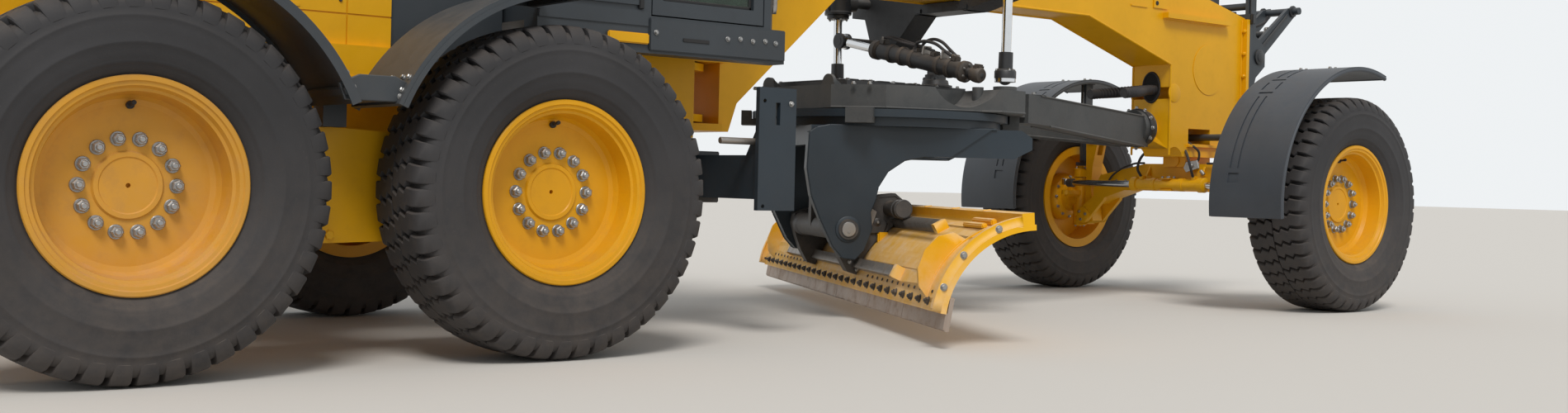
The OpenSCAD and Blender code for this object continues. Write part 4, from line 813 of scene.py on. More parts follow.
def cushion(name, low, high, lean=0.0, pivot=(0, 0, 0)):
    shape = bmesh.new()
    to_pivot = Matrix.Translation(pivot)
    turn = to_pivot @ turn_by(lean, "Y") @ Matrix.Translation(-Vector(pivot))
    slab(shape, [v + 8 for v in low], [v - 8 for v in high], 26, segments=3)
    made = new_object(name, mesh_of(shape, name, machine @ turn, 80))
    start = made.modifiers.new("even", "REMESH")
    start.mode = "VOXEL"
    start.voxel_size = voxel
    plain = finished_mesh(made)
    made.modifiers.clear()
    made.data = plain
    rest = [v.co.copy() for v in plain.vertices]
    puff = made.modifiers.new("puff", "CLOTH")
    puff.settings.use_pressure = True
    puff.settings.uniform_pressure_force = 4
    puff.settings.effector_weights.gravity = 0
    puff.settings.quality = 4
    puff.collision_settings.use_collision = False
    for step in range(1, last_frame + 1):
        bpy.context.scene.frame_set(step)
    blown = finished_mesh(made)
    made.modifiers.clear()
    bpy.context.scene.frame_set(1)
    made.data = blown
    for v, was in zip(blown.vertices, rest):
        move = v.co - was
        if move.length > swell:
            v.co = was + move.normalized() * swell
    for face in made.data.polygons:
        face.use_smooth = True
    soften = made.modifiers.new("soften", "SUBSURF")
    soften.levels = soften.render_levels = 1
    made.data.materials.clear()
    made.data.materials.append(cloth)
    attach(made, "rear")
    return made


seat_back = (1180, 0, 1765)
cushions = [cushion("seat_cushion", (1190, -240, 1710), (1680, 240, 1812)),
            cushion("seat_backrest", (1062, -235, 1780), (1180, 235, 2300), -8, seat_back),
            cushion("seat_headrest", (1075, -140, 2318), (1170, 140, 2440), -8, seat_back)]
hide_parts("operator_seat")
seat_frame = bmesh.new()
turned(seat_frame, (1420, 0, 1386), (1420, 0, 1700),
       [(0, 150), (12, 150), (16, 120)] + [(20 + 13 * k, 100 + 22 * (k % 2)) for k in range(18)]
       + [(262, 110), (300, 150), (312, 150)], 32)
slab(seat_frame, (1182, -230, 1688), (1675, 230, 1712), 8)
cut_plate(seat_frame, [(1150, 1700), (1182, 1700), (1118, 2300), (1092, 2296)], -200, -150, 4)
cut_plate(seat_frame, [(1150, 1700), (1182, 1700), (1118, 2300), (1092, 2296)], 150, 200, 4)
for s in (1, -1):
    bar(seat_frame, (1100, s * 60, 2290), (1088, s * 60, 2330), 7, 12)
    bar(seat_frame, (1180, s * 262, 1720), (1180, s * 262, 1980), 14, 16)
    slab(seat_frame, (1150, s * 240, 1975), (1470, s * 300, 2012), 10)
piece("seat_frame", seat_frame, plastic, "rear")

# Controls: a ribbed steering column with a thin rubber wheel, two banks of finger levers and a
# screen. The consoles are moulded plastic, screwed to the floor.
dress(casting, "control_console")
controls = bmesh.new()
hub = Vector((1785, 0, 2015))
tilt = Matrix.Translation(hub) @ turn_by(-35, "Y")
ring_big = [hub + (tilt.to_3x3() @ Vector((205 * cos(a), 205 * sin(a), 0)))
            for a in round_angles(32, closed=True)]
hose(controls, ring_big, 14, 12, 3)
for a in round_angles(3, 0.5):
    bar(controls, hub, hub + (tilt.to_3x3() @ Vector((204 * cos(a), 204 * sin(a), 0))), 9, 12)
turned(controls, hub - (tilt.to_3x3() @ Vector((0, 0, 90))),
       hub + (tilt.to_3x3() @ Vector((0, 0, 30))),
       [(0, 42), (60, 40), (76, 56), (104, 52), (112, 30), (114, 0)], 32)
for s in (1, -1):
    slab(controls, (1225, s * 328, 1940), (1622, s * 452, 1968), 8)
    for k in range(5):
        x = 1340 + k * 52
        turned(controls, (x, s * 390, 1960), (x + 12, s * 390, 2050),
               [(0, 16), (8, 15), (12, 5), (52, 5), (58, 12), (80, 14), (90, 10), (92, 0)], 16)
slab(controls, (1985, -420, 1940), (2010, -180, 2100), 8)
bar(controls, (1995, -300, 1960), (1995, -300, 1410), 12, 16)
slab(controls, (1840, 60, 1386), (1990, 200, 1398), 4)
slab(controls, (1840, -200, 1386), (1990, -60, 1398), 4)
piece("cab_controls", controls, plastic, "rear")
screen_glass = weathered("screen_glass", (0.010, 0.014, 0.020), rough=0.12, dust=0.04, fade=0.1,
                         grime=0.05, bump=0.01)
screen = bmesh.new()
slab(screen, (1981, -408, 1955), (1986, -192, 2086), 1)
piece("cab_screen", screen, screen_glass, "rear")

# Ladder: two flat stringers with open treads of punched steel, bolted below the left door. Each
# tread is a row of narrow bars behind a folded edge.
dress(charcoal, "access_steps")
ladder = bmesh.new()
for z in (586, 800, 1020):
    for k in range(14):
        x = 1520 + k * 20.5
        slab(ladder, (x, 752, z + 28), (x + 9, 858, z + 36), 1.5, segments=1)
    slab(ladder, (1506, 854, z - 2), (1800, 862, z + 34), 2)
piece("ladder_treads", ladder, charcoal, "rear")
ladder_bolts = [facing_way((x, 861, z + 15), (0, 1, 0), z) for x in (1520, 1786)
                for z in (586, 800, 1020)]
ladder_bolts += [facing_way((x + 8, 861, 1150), (0, 1, 0), x) for x in (1490, 1800)]
repeated("ladder_bolts", hex_bolt(8, 6), ladder_bolts, plated, "rear")

# Lamps and mirrors: moulded housings with clear ribbed lenses, red lenses on the rear bumper, and
# silvered glass in the mirror heads, which are clamped to bent tubes.
lens_clear = weathered("clear_lens", (0.55, 0.57, 0.58), rough=0.12, dust=0.12, fade=0.06,
                       grime=0.08, coat=0.5, bump=0.03)
lens_red = weathered("red_lens", (0.36, 0.012, 0.008), rough=0.16, dust=0.14, fade=0.1, grime=0.1,
                     coat=0.5, bump=0.03)
mirror_glass = weathered("mirror_glass", (0.80, 0.82, 0.83), rough=0.04, metal=1.0, dust=0.03,
                         fade=0.02, grime=0.02, bump=0.0)
dress(plastic, "lamps_mirrors")
lamp_y = 640
clear, red, silver, rims_of = bmesh.new(), bmesh.new(), bmesh.new(), bmesh.new()
for s in (1, -1):
    for x, way in ((970, -1), (1950, 1)):
        slab(clear, (x + way * 44, s * lamp_y - 60, 3222), (x + way * 51, s * lamp_y + 60, 3281), 3)
        for k in range(7):
            y = s * lamp_y - 54 + k * 18
            slab(clear, (x + way * 50, y - 3, 3226), (x + way * 53, y + 3, 3277), 1, segments=1)
        slab(rims_of, (x + way * 38, s * lamp_y - 71, 3212), (x + way * 48, s * lamp_y + 71, 3222),
             2)
        for k in range(5):
            y = s * lamp_y - 60 + k * 28
            slab(rims_of, (x - way * 40, y, 3288), (x + way * 4, y + 8, 3290), 0.8, segments=1)
    slab(red, (-1787, s * 620 - 80, 940), (-1779, s * 620 + 80, 1002), 3)
    for k in range(9):
        y = s * 620 - 72 + k * 18
        slab(red, (-1790, y - 3, 944), (-1786, y + 3, 998), 1, segments=1)
    head = Matrix.Translation((2210, s * 916, 2450)) @ turn_by(10 * s, "Z")
    slab(silver, (-25, -72, 18), (-21, 72, 312), 1, head)
    for low, high in (((-27, -85, 0), (-20, 85, 16)), ((-27, -85, 314), (-20, 85, 330)),
                      ((-27, -85, 0), (-20, -72, 330)), ((-27, 72, 0), (-20, 85, 330))):
        slab(rims_of, low, high, 2, head)
    bar(rims_of, (2205, s * 900, 2700), (2215, s * 916, 2700), 20)
    hose(rims_of, [(2120, s * 760, 2710), (2160, s * 830, 2712), (2208, s * 900, 2710),
                   (2212, s * 914, 2760), (2212, s * 916, 2775)], 11, 12)
piece("clear_lenses", clear, lens_clear, "rear")
piece("rear_lenses", red, lens_red, "rear")
piece("mirror_panes", silver, mirror_glass, "rear")
piece("lamp_rims", rims_of, plastic, "rear")

# Side brackets: a cross beam with a drilled plate at each end, welded all round. A bolt stays in
# one of the upper holes, and a steel tube for the hoses runs behind each plate.
arm_paint = weathered("arm_paint", (0.012, 0.023, 0.034), rough=0.42, dust=0.07, fade=0.14,
                      grime=0.2, bump=0.10, dust_colour=(0.17, 0.145, 0.12), low=0.3)
dress(arm_paint, "side_bracket")
bracket = bmesh.new()
for s in (1, -1):
    for z in (625, 820):
        bar(bracket, (1905, s * 928, z), (2045, s * 928, z), 9, 12)
    cut_plate(bracket, [(1905, 812), (2045, 812), (2010, 850), (1940, 850)], s * 890, s * 927, 3)
    slab(bracket, (1905, s * 420, 600), (2045, s * 436, 840), 4)
piece("bracket_welds", bracket, charcoal, "rear")
bracket_tube = bmesh.new()
for s in (1, -1):
    bar(bracket_tube, (1720, s * 880, 880), (1966, s * 880, 880), 15, 20)
    slab(bracket_tube, (1930, s * 862, 860), (1960, s * 898, 900), 4)
piece("bracket_tubes", bracket_tube, bare_steel, "rear")
repeated("bracket_bolts", hex_bolt(10, 8),
         [facing_way((2058, s * 950, 1052), (0, s, 0), 0.3) for s in (1, -1)]
         + [facing_way((1870, s * 350, 905), (0, 0, 1), 0.2) for s in (1, -1)], plated, "rear")

# Front frame: a box beam of welded plate with cast ears. The welds show along its edges, yellow
# bolts close the flange at its nose, and two rubber sleeves lead the hoses out of an oval mouth
# towards the drawbar.
dress(yellow, "front_frame")
# near-black finish that is painted shade, for the sheet across the oval mouth
mouth_painted_shade = weathered("mouth_painted_shade", (0.004, 0.004, 0.004), rough=0.9, dust=0.1, fade=0.1,
                       grime=0.1, bump=0.05)
hitch_x, beam_y = 2080, 150
beads = bmesh.new()
for s in (1, -1):
    y = s * beam_y
    for a, b in (((5815, 930), (5815, 1505)), ((5815, 1511), (5012, 1755)),
                 ((5012, 1757), (3075, 1745)), ((6050, 1995), (5500, 2125)),
                 ((5500, 2125), (3230, 2125))):
        bar(beads, (a[0], y, a[1]), (b[0], y, b[1]), 7, 8)
    bar(beads, (5720, s * 152, 1800), (6380, s * 152, 1800), 6, 8)
    bar(beads, (6566, s * 152, 970), (6566, s * 152, 1855), 6, 8)
    slab(beads, (5620, s * beam_y, 1855), (5760, s * 158, 1920), 3)
    slab(beads, (5400, s * beam_y, 1850), (5560, s * 156, 1862), 2)
piece("frame_welds", beads, yellow, "front")
spots = [facing_way((6569, s * 172, z), (-1, 0, 0), z) for s in (1, -1)
         for z in (1180, 1330, 1480, 1630, 1780)]
repeated("flange_bolts", hex_bolt(11, 9), spots, yellow, "front")
dark_bits = bmesh.new()
for s in (1, -1):
    bar(dark_bits, (5650, s * 157, 1888), (5650, s * 162, 1888), 14, 20)
oval = [(66 * cos(a), 96 * sin(a)) for a in round_angles(32, closed=True)]
hose(dark_bits, [(5813, y, 1368 + z) for y, z in oval], 7, 8, 2)
piece("frame_seals", dark_bits, seal, "front")
# a near-black sheet across the oval mouth: painted shade for the dark inside of the opening
mouth = bmesh.new()
cut_plate(mouth, [(y, z) for y, z in oval[:-1]], -1, 1, 0.5,
          Matrix.Translation((5813.4, 0, 1368)) @ turn_by(90, "Z"))
piece("sleeve_mouth", mouth, mouth_painted_shade, "front")
plugs = bmesh.new()
for s in (1, -1):
    turned(plugs, (5855, s * 148, 1330), (5855, s * 154, 1330),
           [(0, 54), (2, 60), (5, 60), (7, 54), (8, 0)], 32)
piece("frame_plugs", plugs, yellow, "front")
sleeve = bmesh.new()
for s in (1, -1):
    hose(sleeve, [(5812, s * 26, 1352), (5770, s * 30, 1350), (5680, s * 48, 1336),
                  (5580, s * 90, 1322), (5460, s * 124, 1312), (5370, s * 134, 1306)], 30, 16)
    for k in range(18):
        t = k / 17
        x = 5770 - 380 * t
        y, z = 30 + 104 * (3 * t * t - 2 * t * t * t), 1350 - 44 * t
        turned(sleeve, (x, s * y, z), (x - 12, s * (y + 3), z - 2.4),
               [(0, 29), (3, 33), (8, 33), (11, 29)], 16)
piece("hose_sleeves", sleeve, rubber, "front")
hitch_caps = bmesh.new()
for z, way in ((1327, 1), (938, -1)):
    turned(hitch_caps, (hitch_x, 0, z - 4 * way), (hitch_x, 0, z + 30 * way),
           [(0, 92), (10, 92), (14, 84), (22, 60), (24, 0)], 32)
piece("hitch_caps", hitch_caps, casting, "front")
spots = bolt_ring((hitch_x, 0, 1336), 74, round_angles(6), (0, 0, 1))
spots += bolt_ring((hitch_x, 0, 929), 74, round_angles(6), (0, 0, -1))
spots += [facing_way((x, s * 110, 2147), (0, 0, 1), x) for s in (1, -1) for x in (4740, 4950, 5230)]
repeated("front_frame_bolts", hex_bolt(9, 7), spots, plated, "front")
steer_hoses = bmesh.new()
for s in (1, -1):
    for k, drop in ((0, 0), (1, 30)):
        hose(steer_hoses, [(2210, s * (70 + 26 * k), 1400), (2260, s * (140 + 20 * k), 1480 - drop),
                           (2340, s * (168 + 10 * k), 1560 - drop),
                           (2480, s * (172 + 4 * k), 1640 - drop), (2700, s * 164, 1790 - drop),
                           (3000, s * 163, 1900 - drop), (3880, s * 163, 1930 - drop)], 12, 12)
    for x in (2600, 3000, 3500):
        z = 1716 if x == 2600 else (1882 if x == 3000 else 1906)
        slab(steer_hoses, (x - 14, s * beam_y, z - 26), (x + 14, s * 178, z + 34), 4)
piece("neck_hoses", steer_hoses, rubber, "front")

# Saddle and lift cylinders: a forged clasp round the neck holds two cylinders on pins. Each
# cylinder has a bolted head, a steel pipe between its ports, and a capped ball at its foot.
chrome = weathered("chrome_rod", (0.72, 0.73, 0.74), rough=0.16, metal=1.0, dust=0.06, fade=0.04,
                   grime=0.12, grime_colour=(0.25, 0.24, 0.22), bump=0.02)
black_paint = weathered("black_paint", (0.018, 0.020, 0.023), rough=0.42, dust=0.16, fade=0.15,
                        grime=0.25, bump=0.12)


def along_way(start, end, side):
    # a frame whose Z runs from one point to another, with X turned to one side
    z = (Vector(end) - Vector(start)).normalized()
    x = Vector(side)
    x = (x - z * x.dot(z)).normalized()
    turn = Matrix((x, z.cross(x), z)).transposed().to_4x4()
    return Matrix.Translation(start) @ turn


dress(casting, "saddle", "lift_barrel_left", "lift_barrel_right")
dress(chrome, "lift_rod_left", "lift_rod_right")
saddle = bmesh.new()
for s in (1, -1):
    slab(saddle, (3892, s * 156, 2080), (4078, s * 240, 2120), 8)
    slab(saddle, (3892, s * 156, 1690), (4078, s * 214, 1722), 6)
    cut_plate(saddle, [(3896, 1905), (4074, 1905), (4060, 2080), (3910, 2080)], s * 220, s * 236, 3)
slab(saddle, (3890, -238, 2222), (4080, 238, 2246), 8)
piece("saddle_ribs", saddle, black_paint, "front")
spots = [facing_way((3925 + 60 * k, s * 205, 2120), (0, 0, 1), k) for s in (1, -1)
         for k in range(3)]
spots += [facing_way((4071, y, z), (1, 0, 0), y)
          for y, z in ((-690, 1870), (690, 1780), (-640, 1840), (640, 1750))]
repeated("saddle_bolts", hex_bolt(12, 10), spots, plated, "front")
lifts = (("right", (3720, -690, 1870), (3720, -680, 1280)),
         ("left", (3720, 690, 1780), (3720, 680, 1280)))
for side, top, foot in lifts:
    place = machine @ along_way(top, foot, (-1, 0, 0))
    run = (Vector(foot) - Vector(top)).length
    barrel = bmesh.new()
    turned(barrel, (0, 0, 70), (0, 0, 104), [(0, 58), (3, 66), (26, 66), (31, 60), (34, 34)], 40)
    turned(barrel, (0, 0, -766), (0, 0, -700), [(0, 40), (3, 60), (30, 62), (34, 58)], 40)
    turned(barrel, (0, 0, -79), (0, 0, 79),
           [(0, 62), (4, 80), (18, 82), (22, 79), (136, 79), (140, 82), (154, 80), (158, 62)], 40)
    for z in (-690, 44):
        slab(barrel, (44, -20, z - 20), (86 if z > 0 else 80, 20, z + 20), 5)
    for z in (-560, -380, -200):
        turned(barrel, (0, 0, z - 9), (0, 0, z + 9), [(0, 58), (2, 60.5), (16, 60.5), (18, 58)], 40)
        slab(barrel, (56, -16, z - 12), (104, 16, z + 12), 4)
    piece("lift_barrel_trim_" + side, barrel, black_paint, "lift_barrel_" + side, place)
    pipe = bmesh.new()
    hose(pipe, [(70, 0, -690), (92, 0, -686), (95, 0, -640), (95, 0, -20), (95, 0, 30), (88, 0, 44),
                (72, 0, 44)], 8, 10)
    piece("lift_pipe_" + side, pipe, bare_steel, "lift_barrel_" + side, place)
    spots = bolt_ring((0, 0, 100), 54, round_angles(8, 0.4), (0, 0, 1))
    repeated("lift_head_bolts_" + side, hex_bolt(6, 5), spots, plated, "lift_barrel_" + side,
             place=place)
    collar = bmesh.new()
    turned(collar, (0, 0, run - 135), (0, 0, run - 36), [(0, 27), (2, 37.5), (92, 38.5), (97, 34)],
           32)
    turned(collar, (0, 0, run - 48), (0, 0, run + 22),
           [(0, 40), (8, 52), (16, 57.5), (52, 57.5), (56, 48)], 40)
    piece("lift_foot_" + side, collar, black_paint, "lift_rod_" + side, place)
    spots = bolt_ring((0, 0, run - 36), 50, round_angles(4, 0.4), (0, 0, -1))
    repeated("lift_foot_bolts_" + side, hex_bolt(6, 6), spots, plated, "lift_rod_" + side,
             place=place)

# Side-shift cylinder of the drawbar: a greasy, dusty barrel with clamped pipes, two looped hoses
# and a ball housing bolted up at its foot.
dress(casting, "shift_barrel", "shift_clevis")
dress(chrome, "shift_rod")
oily = weathered("oily_barrel", (0.030, 0.026, 0.023), rough=0.45, dust=0.40, fade=0.3, grime=0.5,
                 bump=0.5, dust_colour=(0.20, 0.155, 0.12), low=0.5, reach=2.4)
shift_eye, shift_foot = (3600, 500, 1530), (3600, -600, 1290)
shift_place = machine @ along_way(shift_eye, shift_foot, (0, 0, 1))
run = (Vector(shift_foot) - Vector(shift_eye)).length
barrel = bmesh.new()
turned(barrel, (0, 0, 286), (0, 0, 350), [(0, 30), (2, 50), (8, 55), (40, 55), (44, 52), (60, 48)],
       32)
for z in (430, 520, 610, 820, 905):
    turned(barrel, (0, 0, z), (0, 0, z + 26), [(0, 46), (3, 52 + 2 * (z % 3)), (22, 52), (26, 46)],
           24)
for z in (360, 640, 780, 940):
    slab(barrel, (38, -24, z - 22), (70, 24, z + 22), 6)
turned(barrel, (0, 0, 1005), (0, 0, 1050), [(0, 46), (4, 57), (30, 58), (36, 50), (44, 30)], 32)
turned(barrel, (0, 0, run - 46), (0, 0, run + 31),
       [(0, 30), (8, 38), (24, 42), (40, 43), (58, 42), (70, 34), (77, 0)], 32)
slab(barrel, (20, -28, run - 30), (56, 28, run + 12), 8)
piece("shift_barrel_trim", barrel, oily, "shift_barrel", shift_place)
lines = bmesh.new()
hose(lines, [(66, -12, 360), (84, -14, 366), (88, -15, 420), (80, -14, 560), (78, -12, 640)], 8, 10)
hose(lines, [(66, 12, 360), (80, 14, 372), (82, 15, 430), (74, 15, 560), (76, 12, 700),
             (70, 12, 780)], 8, 10)
hose(lines, [(60, -20, 640), (100, -26, 655), (128, -24, 720), (124, -16, 800), (92, -10, 880),
             (66, -8, 940)], 9, 10)
hose(lines, [(60, 20, 640), (92, 26, 650), (112, 26, 710), (110, 20, 790), (84, 12, 860),
             (62, 10, 930)], 9, 10)
piece("shift_hoses", lines, rubber, "shift_barrel", shift_place)
fittings = bmesh.new()
for x, y, z in ((70, -12, 640), (70, 12, 640), (66, 8, 930), (66, -8, 945), (70, -12, 360),
                (70, 12, 360)):
    turned(fittings, (x - 12, y, z), (x + 16, y, z),
           [(0, 11), (12, 11), (13, 13), (22, 13), (24, 9)], 6)
for z in (700, 850):
    slab(fittings, (40, -30, z), (86, 30, z + 16), 3)
piece("shift_fittings", fittings, bare_steel, "shift_barrel", shift_place)
spots = bolt_ring((0, 0, 1049), 40, round_angles(6), (0, 0, 1))
repeated("shift_bolts", hex_bolt(5.5, 5), spots, plated, "shift_barrel", place=shift_place)

# Drawbar: two box beams welded into an A, with a thick yoke plate over the circle. Its ball cap
# is bolted on in front, pipes run down one beam to the circle drive, and earth lies on its upper
# faces.
dress(casting, "circle_drive")
dress(bare_steel, "drawbar_ball")
ball_x, ball_z = 5740, 1100
on_ball = machine @ Matrix.Translation((ball_x, 0, ball_z))
drawbar_paint = weathered("drawbar_paint", (0.040, 0.044, 0.046), rough=0.52, dust=0.34, fade=0.18,
                          grime=0.3, bump=0.18, dust_colour=(0.23, 0.215, 0.20), low=0.35,
                          reach=2.2)
dress(drawbar_paint, "drawbar")
welds = bmesh.new()
for s in (1, -1):
    turn = turn_by(-15 * s, "Z") @ Matrix.Translation((-60, 0, 0))
    for y in (-60, 60):
        for a, b in (((-70, 72), (-1500, 116)), ((-70, -118), (-1380, -48))):
            one, two = turn @ Vector((a[0], y, a[1])), turn @ Vector((b[0], y, b[1]))
            bar(welds, one, two, 6, 8)
    outline = [(-1500, 380), (-1760, 560), (-1930, 745), (-2110, 755), (-2200, 690), (-2720, 520),
               (-2900, 300)]
    for one, two in zip(outline, outline[1:]):
        bar(welds, (one[0], s * (one[1] - 3), -6), (two[0], s * (two[1] - 3), -6), 6, 8)
    slab(welds, (-1560, s * 300, 108), (-1440, s * 460, 124), 5)
piece("drawbar_welds", welds, drawbar_paint, "drawbar", on_ball)
cap = bmesh.new()
turned(cap, (-78, 0, 0), (4, 0, 0), [(0, 112), (4, 124), (20, 126), (24, 118), (60, 116), (66, 108),
                                     (76, 88), (78, 74)], 48)
piece("ball_cap", cap, black_paint, "drawbar", on_ball)
spots = [facing_way((-68, 125 * cos(a), 125 * sin(a)), (0, cos(a), sin(a)), a)
         for a in round_angles(12)]
spots += bolt_ring((-14, 0, 0), 99, [radians(30 + 60 * k) for k in range(6)], (1, 0, 0), 1.3)
repeated("ball_cap_bolts", hex_bolt(10, 10), spots, plated, "drawbar", place=on_ball)
drive = bmesh.new()
drive_x = -1870
turned(drive, (drive_x, 0, 108), (drive_x, 0, 235),
       [(0, 120), (14, 122), (18, 97), (62, 96), (66, 78), (90, 72), (96, 60), (122, 58), (126, 50),
        (127, 0)], 48)
slab(drive, (-1905, -40, 225), (-1835, 40, 268), 8)
slab(drive, (-1925, -52, 180), (-1900, 52, 216), 5)
for k in range(7):
    slab(drive, (-2780 + 110 * k, -290, 139), (-2700 + 110 * k, 290, 147), 3, segments=1)
piece("circle_drive_case", drive, black_paint, "drawbar", on_ball)
spots = bolt_ring((drive_x, 0, 124), 108, round_angles(12), (0, 0, 1))
spots += [facing_way((x, y, 138), (0, 0, 1), x) for x in range(-2770, -1960, 160)
          for y in (-278, 278)]
spots += [facing_way((-2290 + 690 * cos(a + d), 690 * sin(a + d), 110), (0, 0, 1), a)
          for a in (radians(140), radians(220)) for d in (-0.06, 0.06)]
spots += [facing_way((-1520, s * y, 124), (0, 0, 1), y) for s in (1, -1) for y in (330, 430)]
repeated("drawbar_bolts", hex_bolt(10, 8), spots, plated, "drawbar", place=on_ball)
pipes = bmesh.new()
for k in range(3):
    side_y = 95 + 26 * k
    hose(pipes, [(-150, side_y - 30, 92), (-400, side_y + 30, 100), (-900, side_y + 160, 116),
                 (-1350, side_y + 275, 132), (-1600, side_y + 220, 168), (-1760, side_y + 20, 200),
                 (-1840, 20 + 12 * k, 262)], 10, 10)
piece("drawbar_hoses", pipes, rubber, "drawbar", on_ball)
clamps = bmesh.new()
for x, y in ((-420, 150), (-900, 280), (-1340, 395)):
    slab(clamps, (x - 16, y - 55, 76 if x > -500 else 90),
         (x + 16, y + 45, 116 if x > -500 else 136), 4)
piece("drawbar_clamps", clamps, black_paint, "drawbar", on_ball)

# Turning circle and blade arms: a rolled ring with cut teeth inside, and two flame-cut arms with
# welded edges. Plated caps close the tilt pins.
circle_x, circle_turn, arms_back, pin_x, pin_z = 3450, -26, 45, -276, 470
on_circle = machine @ Matrix.Translation((circle_x, 0, 0)) @ turn_by(circle_turn, "Z")
on_arms = on_circle @ Matrix.Translation((-arms_back, 0, 0))
dress(arm_paint, "turning_circle")
tooth = bmesh.new()
cut_plate(tooth, [(-13, 0), (13, 0), (6, -26), (-6, -26)], -18, 18, 2)
tooth_count, tooth_circle = 76, 602
spots = [Matrix.Translation((0, 0, 1100)) @ Matrix.Rotation(a, 4, "Z")
         @ Matrix.Translation((0, tooth_circle, -62)) @ turn_by(90, "X")
         for a in round_angles(tooth_count)]
repeated("circle_teeth", tooth, spots, casting, "circle", place=on_circle)
edges = bmesh.new()
outer = [(-486, 960), (-450, 985), (-380, 1000), (520, 1000), (250, 840)]
inner = [(250, 838), (120, 850), (20, 830), (-70, 770), (-120, 690), (-135, 620), (-160, 560),
         (-150, 470), (-190, 365), (-235, 318), (-300, 325), (-350, 380), (-420, 520), (-470, 640),
         (-495, 780), (-486, 960)]
for s in (1, -1):
    for line, y in ((inner, 570), (outer[:4], 570)):
        for one, two in zip(line, line[1:]):
            bar(edges, (one[0], s * y, one[1]), (two[0], s * y, two[1]), 5, 8)
    turned(edges, (pin_x, s * 574, pin_z), (pin_x, s * 584, pin_z), [(0, 66), (8, 66), (10, 62)],
           40)
    for x in (-250, 100, 420):
        slab(edges, (x, s * 497, 996), (x + 90, s * 560, 1008), 4)
piece("arm_edges", edges, arm_paint, "circle", on_arms)
pin_caps = bmesh.new()
for s in (1, -1):
    turned(pin_caps, (pin_x, s * 590, pin_z), (pin_x, s * 602, pin_z),
           [(0, 36), (8, 38), (11, 35), (12, 0)], 40)
    bar(pin_caps, (pin_x, s * 600, pin_z - 14), (pin_x, s * 604, pin_z - 14), 6, 12)
piece("tilt_pin_caps", pin_caps, plated, "tilt_bracket", on_arms)

# Tilt bracket: cast plates that clasp the moldboard's rails, with bolted guard plates of bare
# steel, the long slide tube of the side-shift cylinder and a yellow stop block on each side.
arc_x, arc_z = 234.5, 95.1
tube_place = Matrix.Translation((arc_x, 0, arc_z)) @ turn_by(-118, "Y")
dress(casting, "tilt_bracket", "tilt_barrel")
dress(chrome, "tilt_rod", "side_shift_rod")
tilt = bmesh.new()
for s in (1, -1):
    cut_plate(tilt, [(-170, 556), (-100, 572), (-74, 528), (-40, 500), (-60, 450), (-130, 446)],
              s * 480, s * 492, 4)
    for x, z in ((pin_x, pin_z), (-96, 506)):
        turned(tilt, (x, s * 478, z), (x, s * 496, z), [(0, 58), (14, 58), (18, 50)] if z == pin_z
               else [(0, 22), (14, 22), (18, 16)], 32)
    cut_plate(tilt, [(-330, 528), (-276, 548), (-200, 568), (-90, 648), (0, 658), (60, 610),
                     (60, 596), (0, 646), (-90, 636), (-200, 556), (-276, 536), (-330, 516)],
              s * 396, s * 486, 2)
turned(tilt, (pin_x, -400, pin_z), (pin_x, -320, pin_z), [(0, 62), (4, 68), (60, 68), (80, 62)], 40)
turned(tilt, (pin_x, 320, pin_z), (pin_x, 400, pin_z), [(0, 62), (20, 68), (76, 68), (80, 62)], 40)
for y in (-700, -640, 455, 508):
    hoop = [tube_place @ Vector((548 + 44 * cos(a), y, 44 * sin(a)))
            for a in round_angles(24, closed=True)]
    hose(tilt, hoop, 6, 8, 2)
piece("tilt_bracket_ribs", tilt, black_paint, "tilt_bracket", on_arms)
grey_plate = bmesh.new()
for s in (1, -1):
    cut_plate(grey_plate, [(-215, 470), (-150, 590), (-100, 560), (-130, 470)], s * 492, s * 497, 2)
piece("tilt_guard_plates", grey_plate, bare_steel, "tilt_bracket", on_arms)
stops = bmesh.new()
for s in (1, -1):
    slab(stops, (-96, s * 480, 395), (-34, s * 512, 455), 8)
piece("tilt_stop_blocks", stops, yellow, "tilt_bracket", on_arms)
spots = [facing_way((x, s * 492, z), (0, s, 0), x) for s in (1, -1)
         for x, z in ((-150, 540), (-96, 506), (-240, 300), (-200, 260), (-306, 410))]
repeated("tilt_bolts", hex_bolt(9, 8), spots, plated, "tilt_bracket", place=on_arms)
foot_x, foot_z, eye_x, eye_z = 330, 925, -276, 730
slope = atan2(foot_z - eye_z, foot_x - eye_x)
tilt_place = on_arms @ Matrix.Translation((foot_x, 0, foot_z)) @ Matrix.Rotation(pi - slope, 4, "Y")
cylinder = bmesh.new()
turned(cylinder, (352, 0, 0), (400, 0, 0), [(0, 45), (3, 52), (36, 52), (40, 48), (46, 26)], 32)
turned(cylinder, (60, 0, 0), (100, 0, 0), [(0, 40), (4, 50), (34, 50), (40, 45)], 32)
for x in (110, 330):
    slab(cylinder, (x - 16, -16, -66), (x + 16, 16, -40), 5)
piece("tilt_barrel_trim", cylinder, black_paint, "tilt_barrel", tilt_place)
line = bmesh.new()
hose(line, [(110, 0, -60), (112, 0, -84), (140, 0, -92), (300, 0, -92), (328, 0, -84),
            (330, 0, -60)], 8, 10)
piece("tilt_pipe", line, bare_steel, "tilt_barrel", tilt_place)

# Moldboard: a rolled plate with end plates and ribs, its two rails worn to bare steel. Dust
# clings to its lower back, and a row of plough bolts holds the cutting edge, which is scoured and
# chipped.
on_blade = on_arms @ Matrix.Translation((0, -64, 0))


def on_back(angle):
    return on_blade @ Matrix.Translation((arc_x, 0, arc_z)) @ turn_by(-angle, "Y")


blade_yellow = weathered("blade_paint", (0.86, 0.44, 0.004), rough=0.42, dust=0.75, fade=0.08,
                         grime=0.14, dust_colour=(0.86, 0.60, 0.34),
                         grime_colour=(0.38, 0.18, 0.02), coat=0.04, bump=0.08, low=0.62,
                         reach=0.46, shine=0.3)
worn_rail = weathered("worn_rail", (0.28, 0.26, 0.24), rough=0.38, metal=0.8, dust=0.35, fade=0.15,
                      grime=0.4, grime_colour=(0.10, 0.07, 0.04), bump=0.15, low=0.3)
rail_from, rail_end, rail_half = 452, 1098, 26


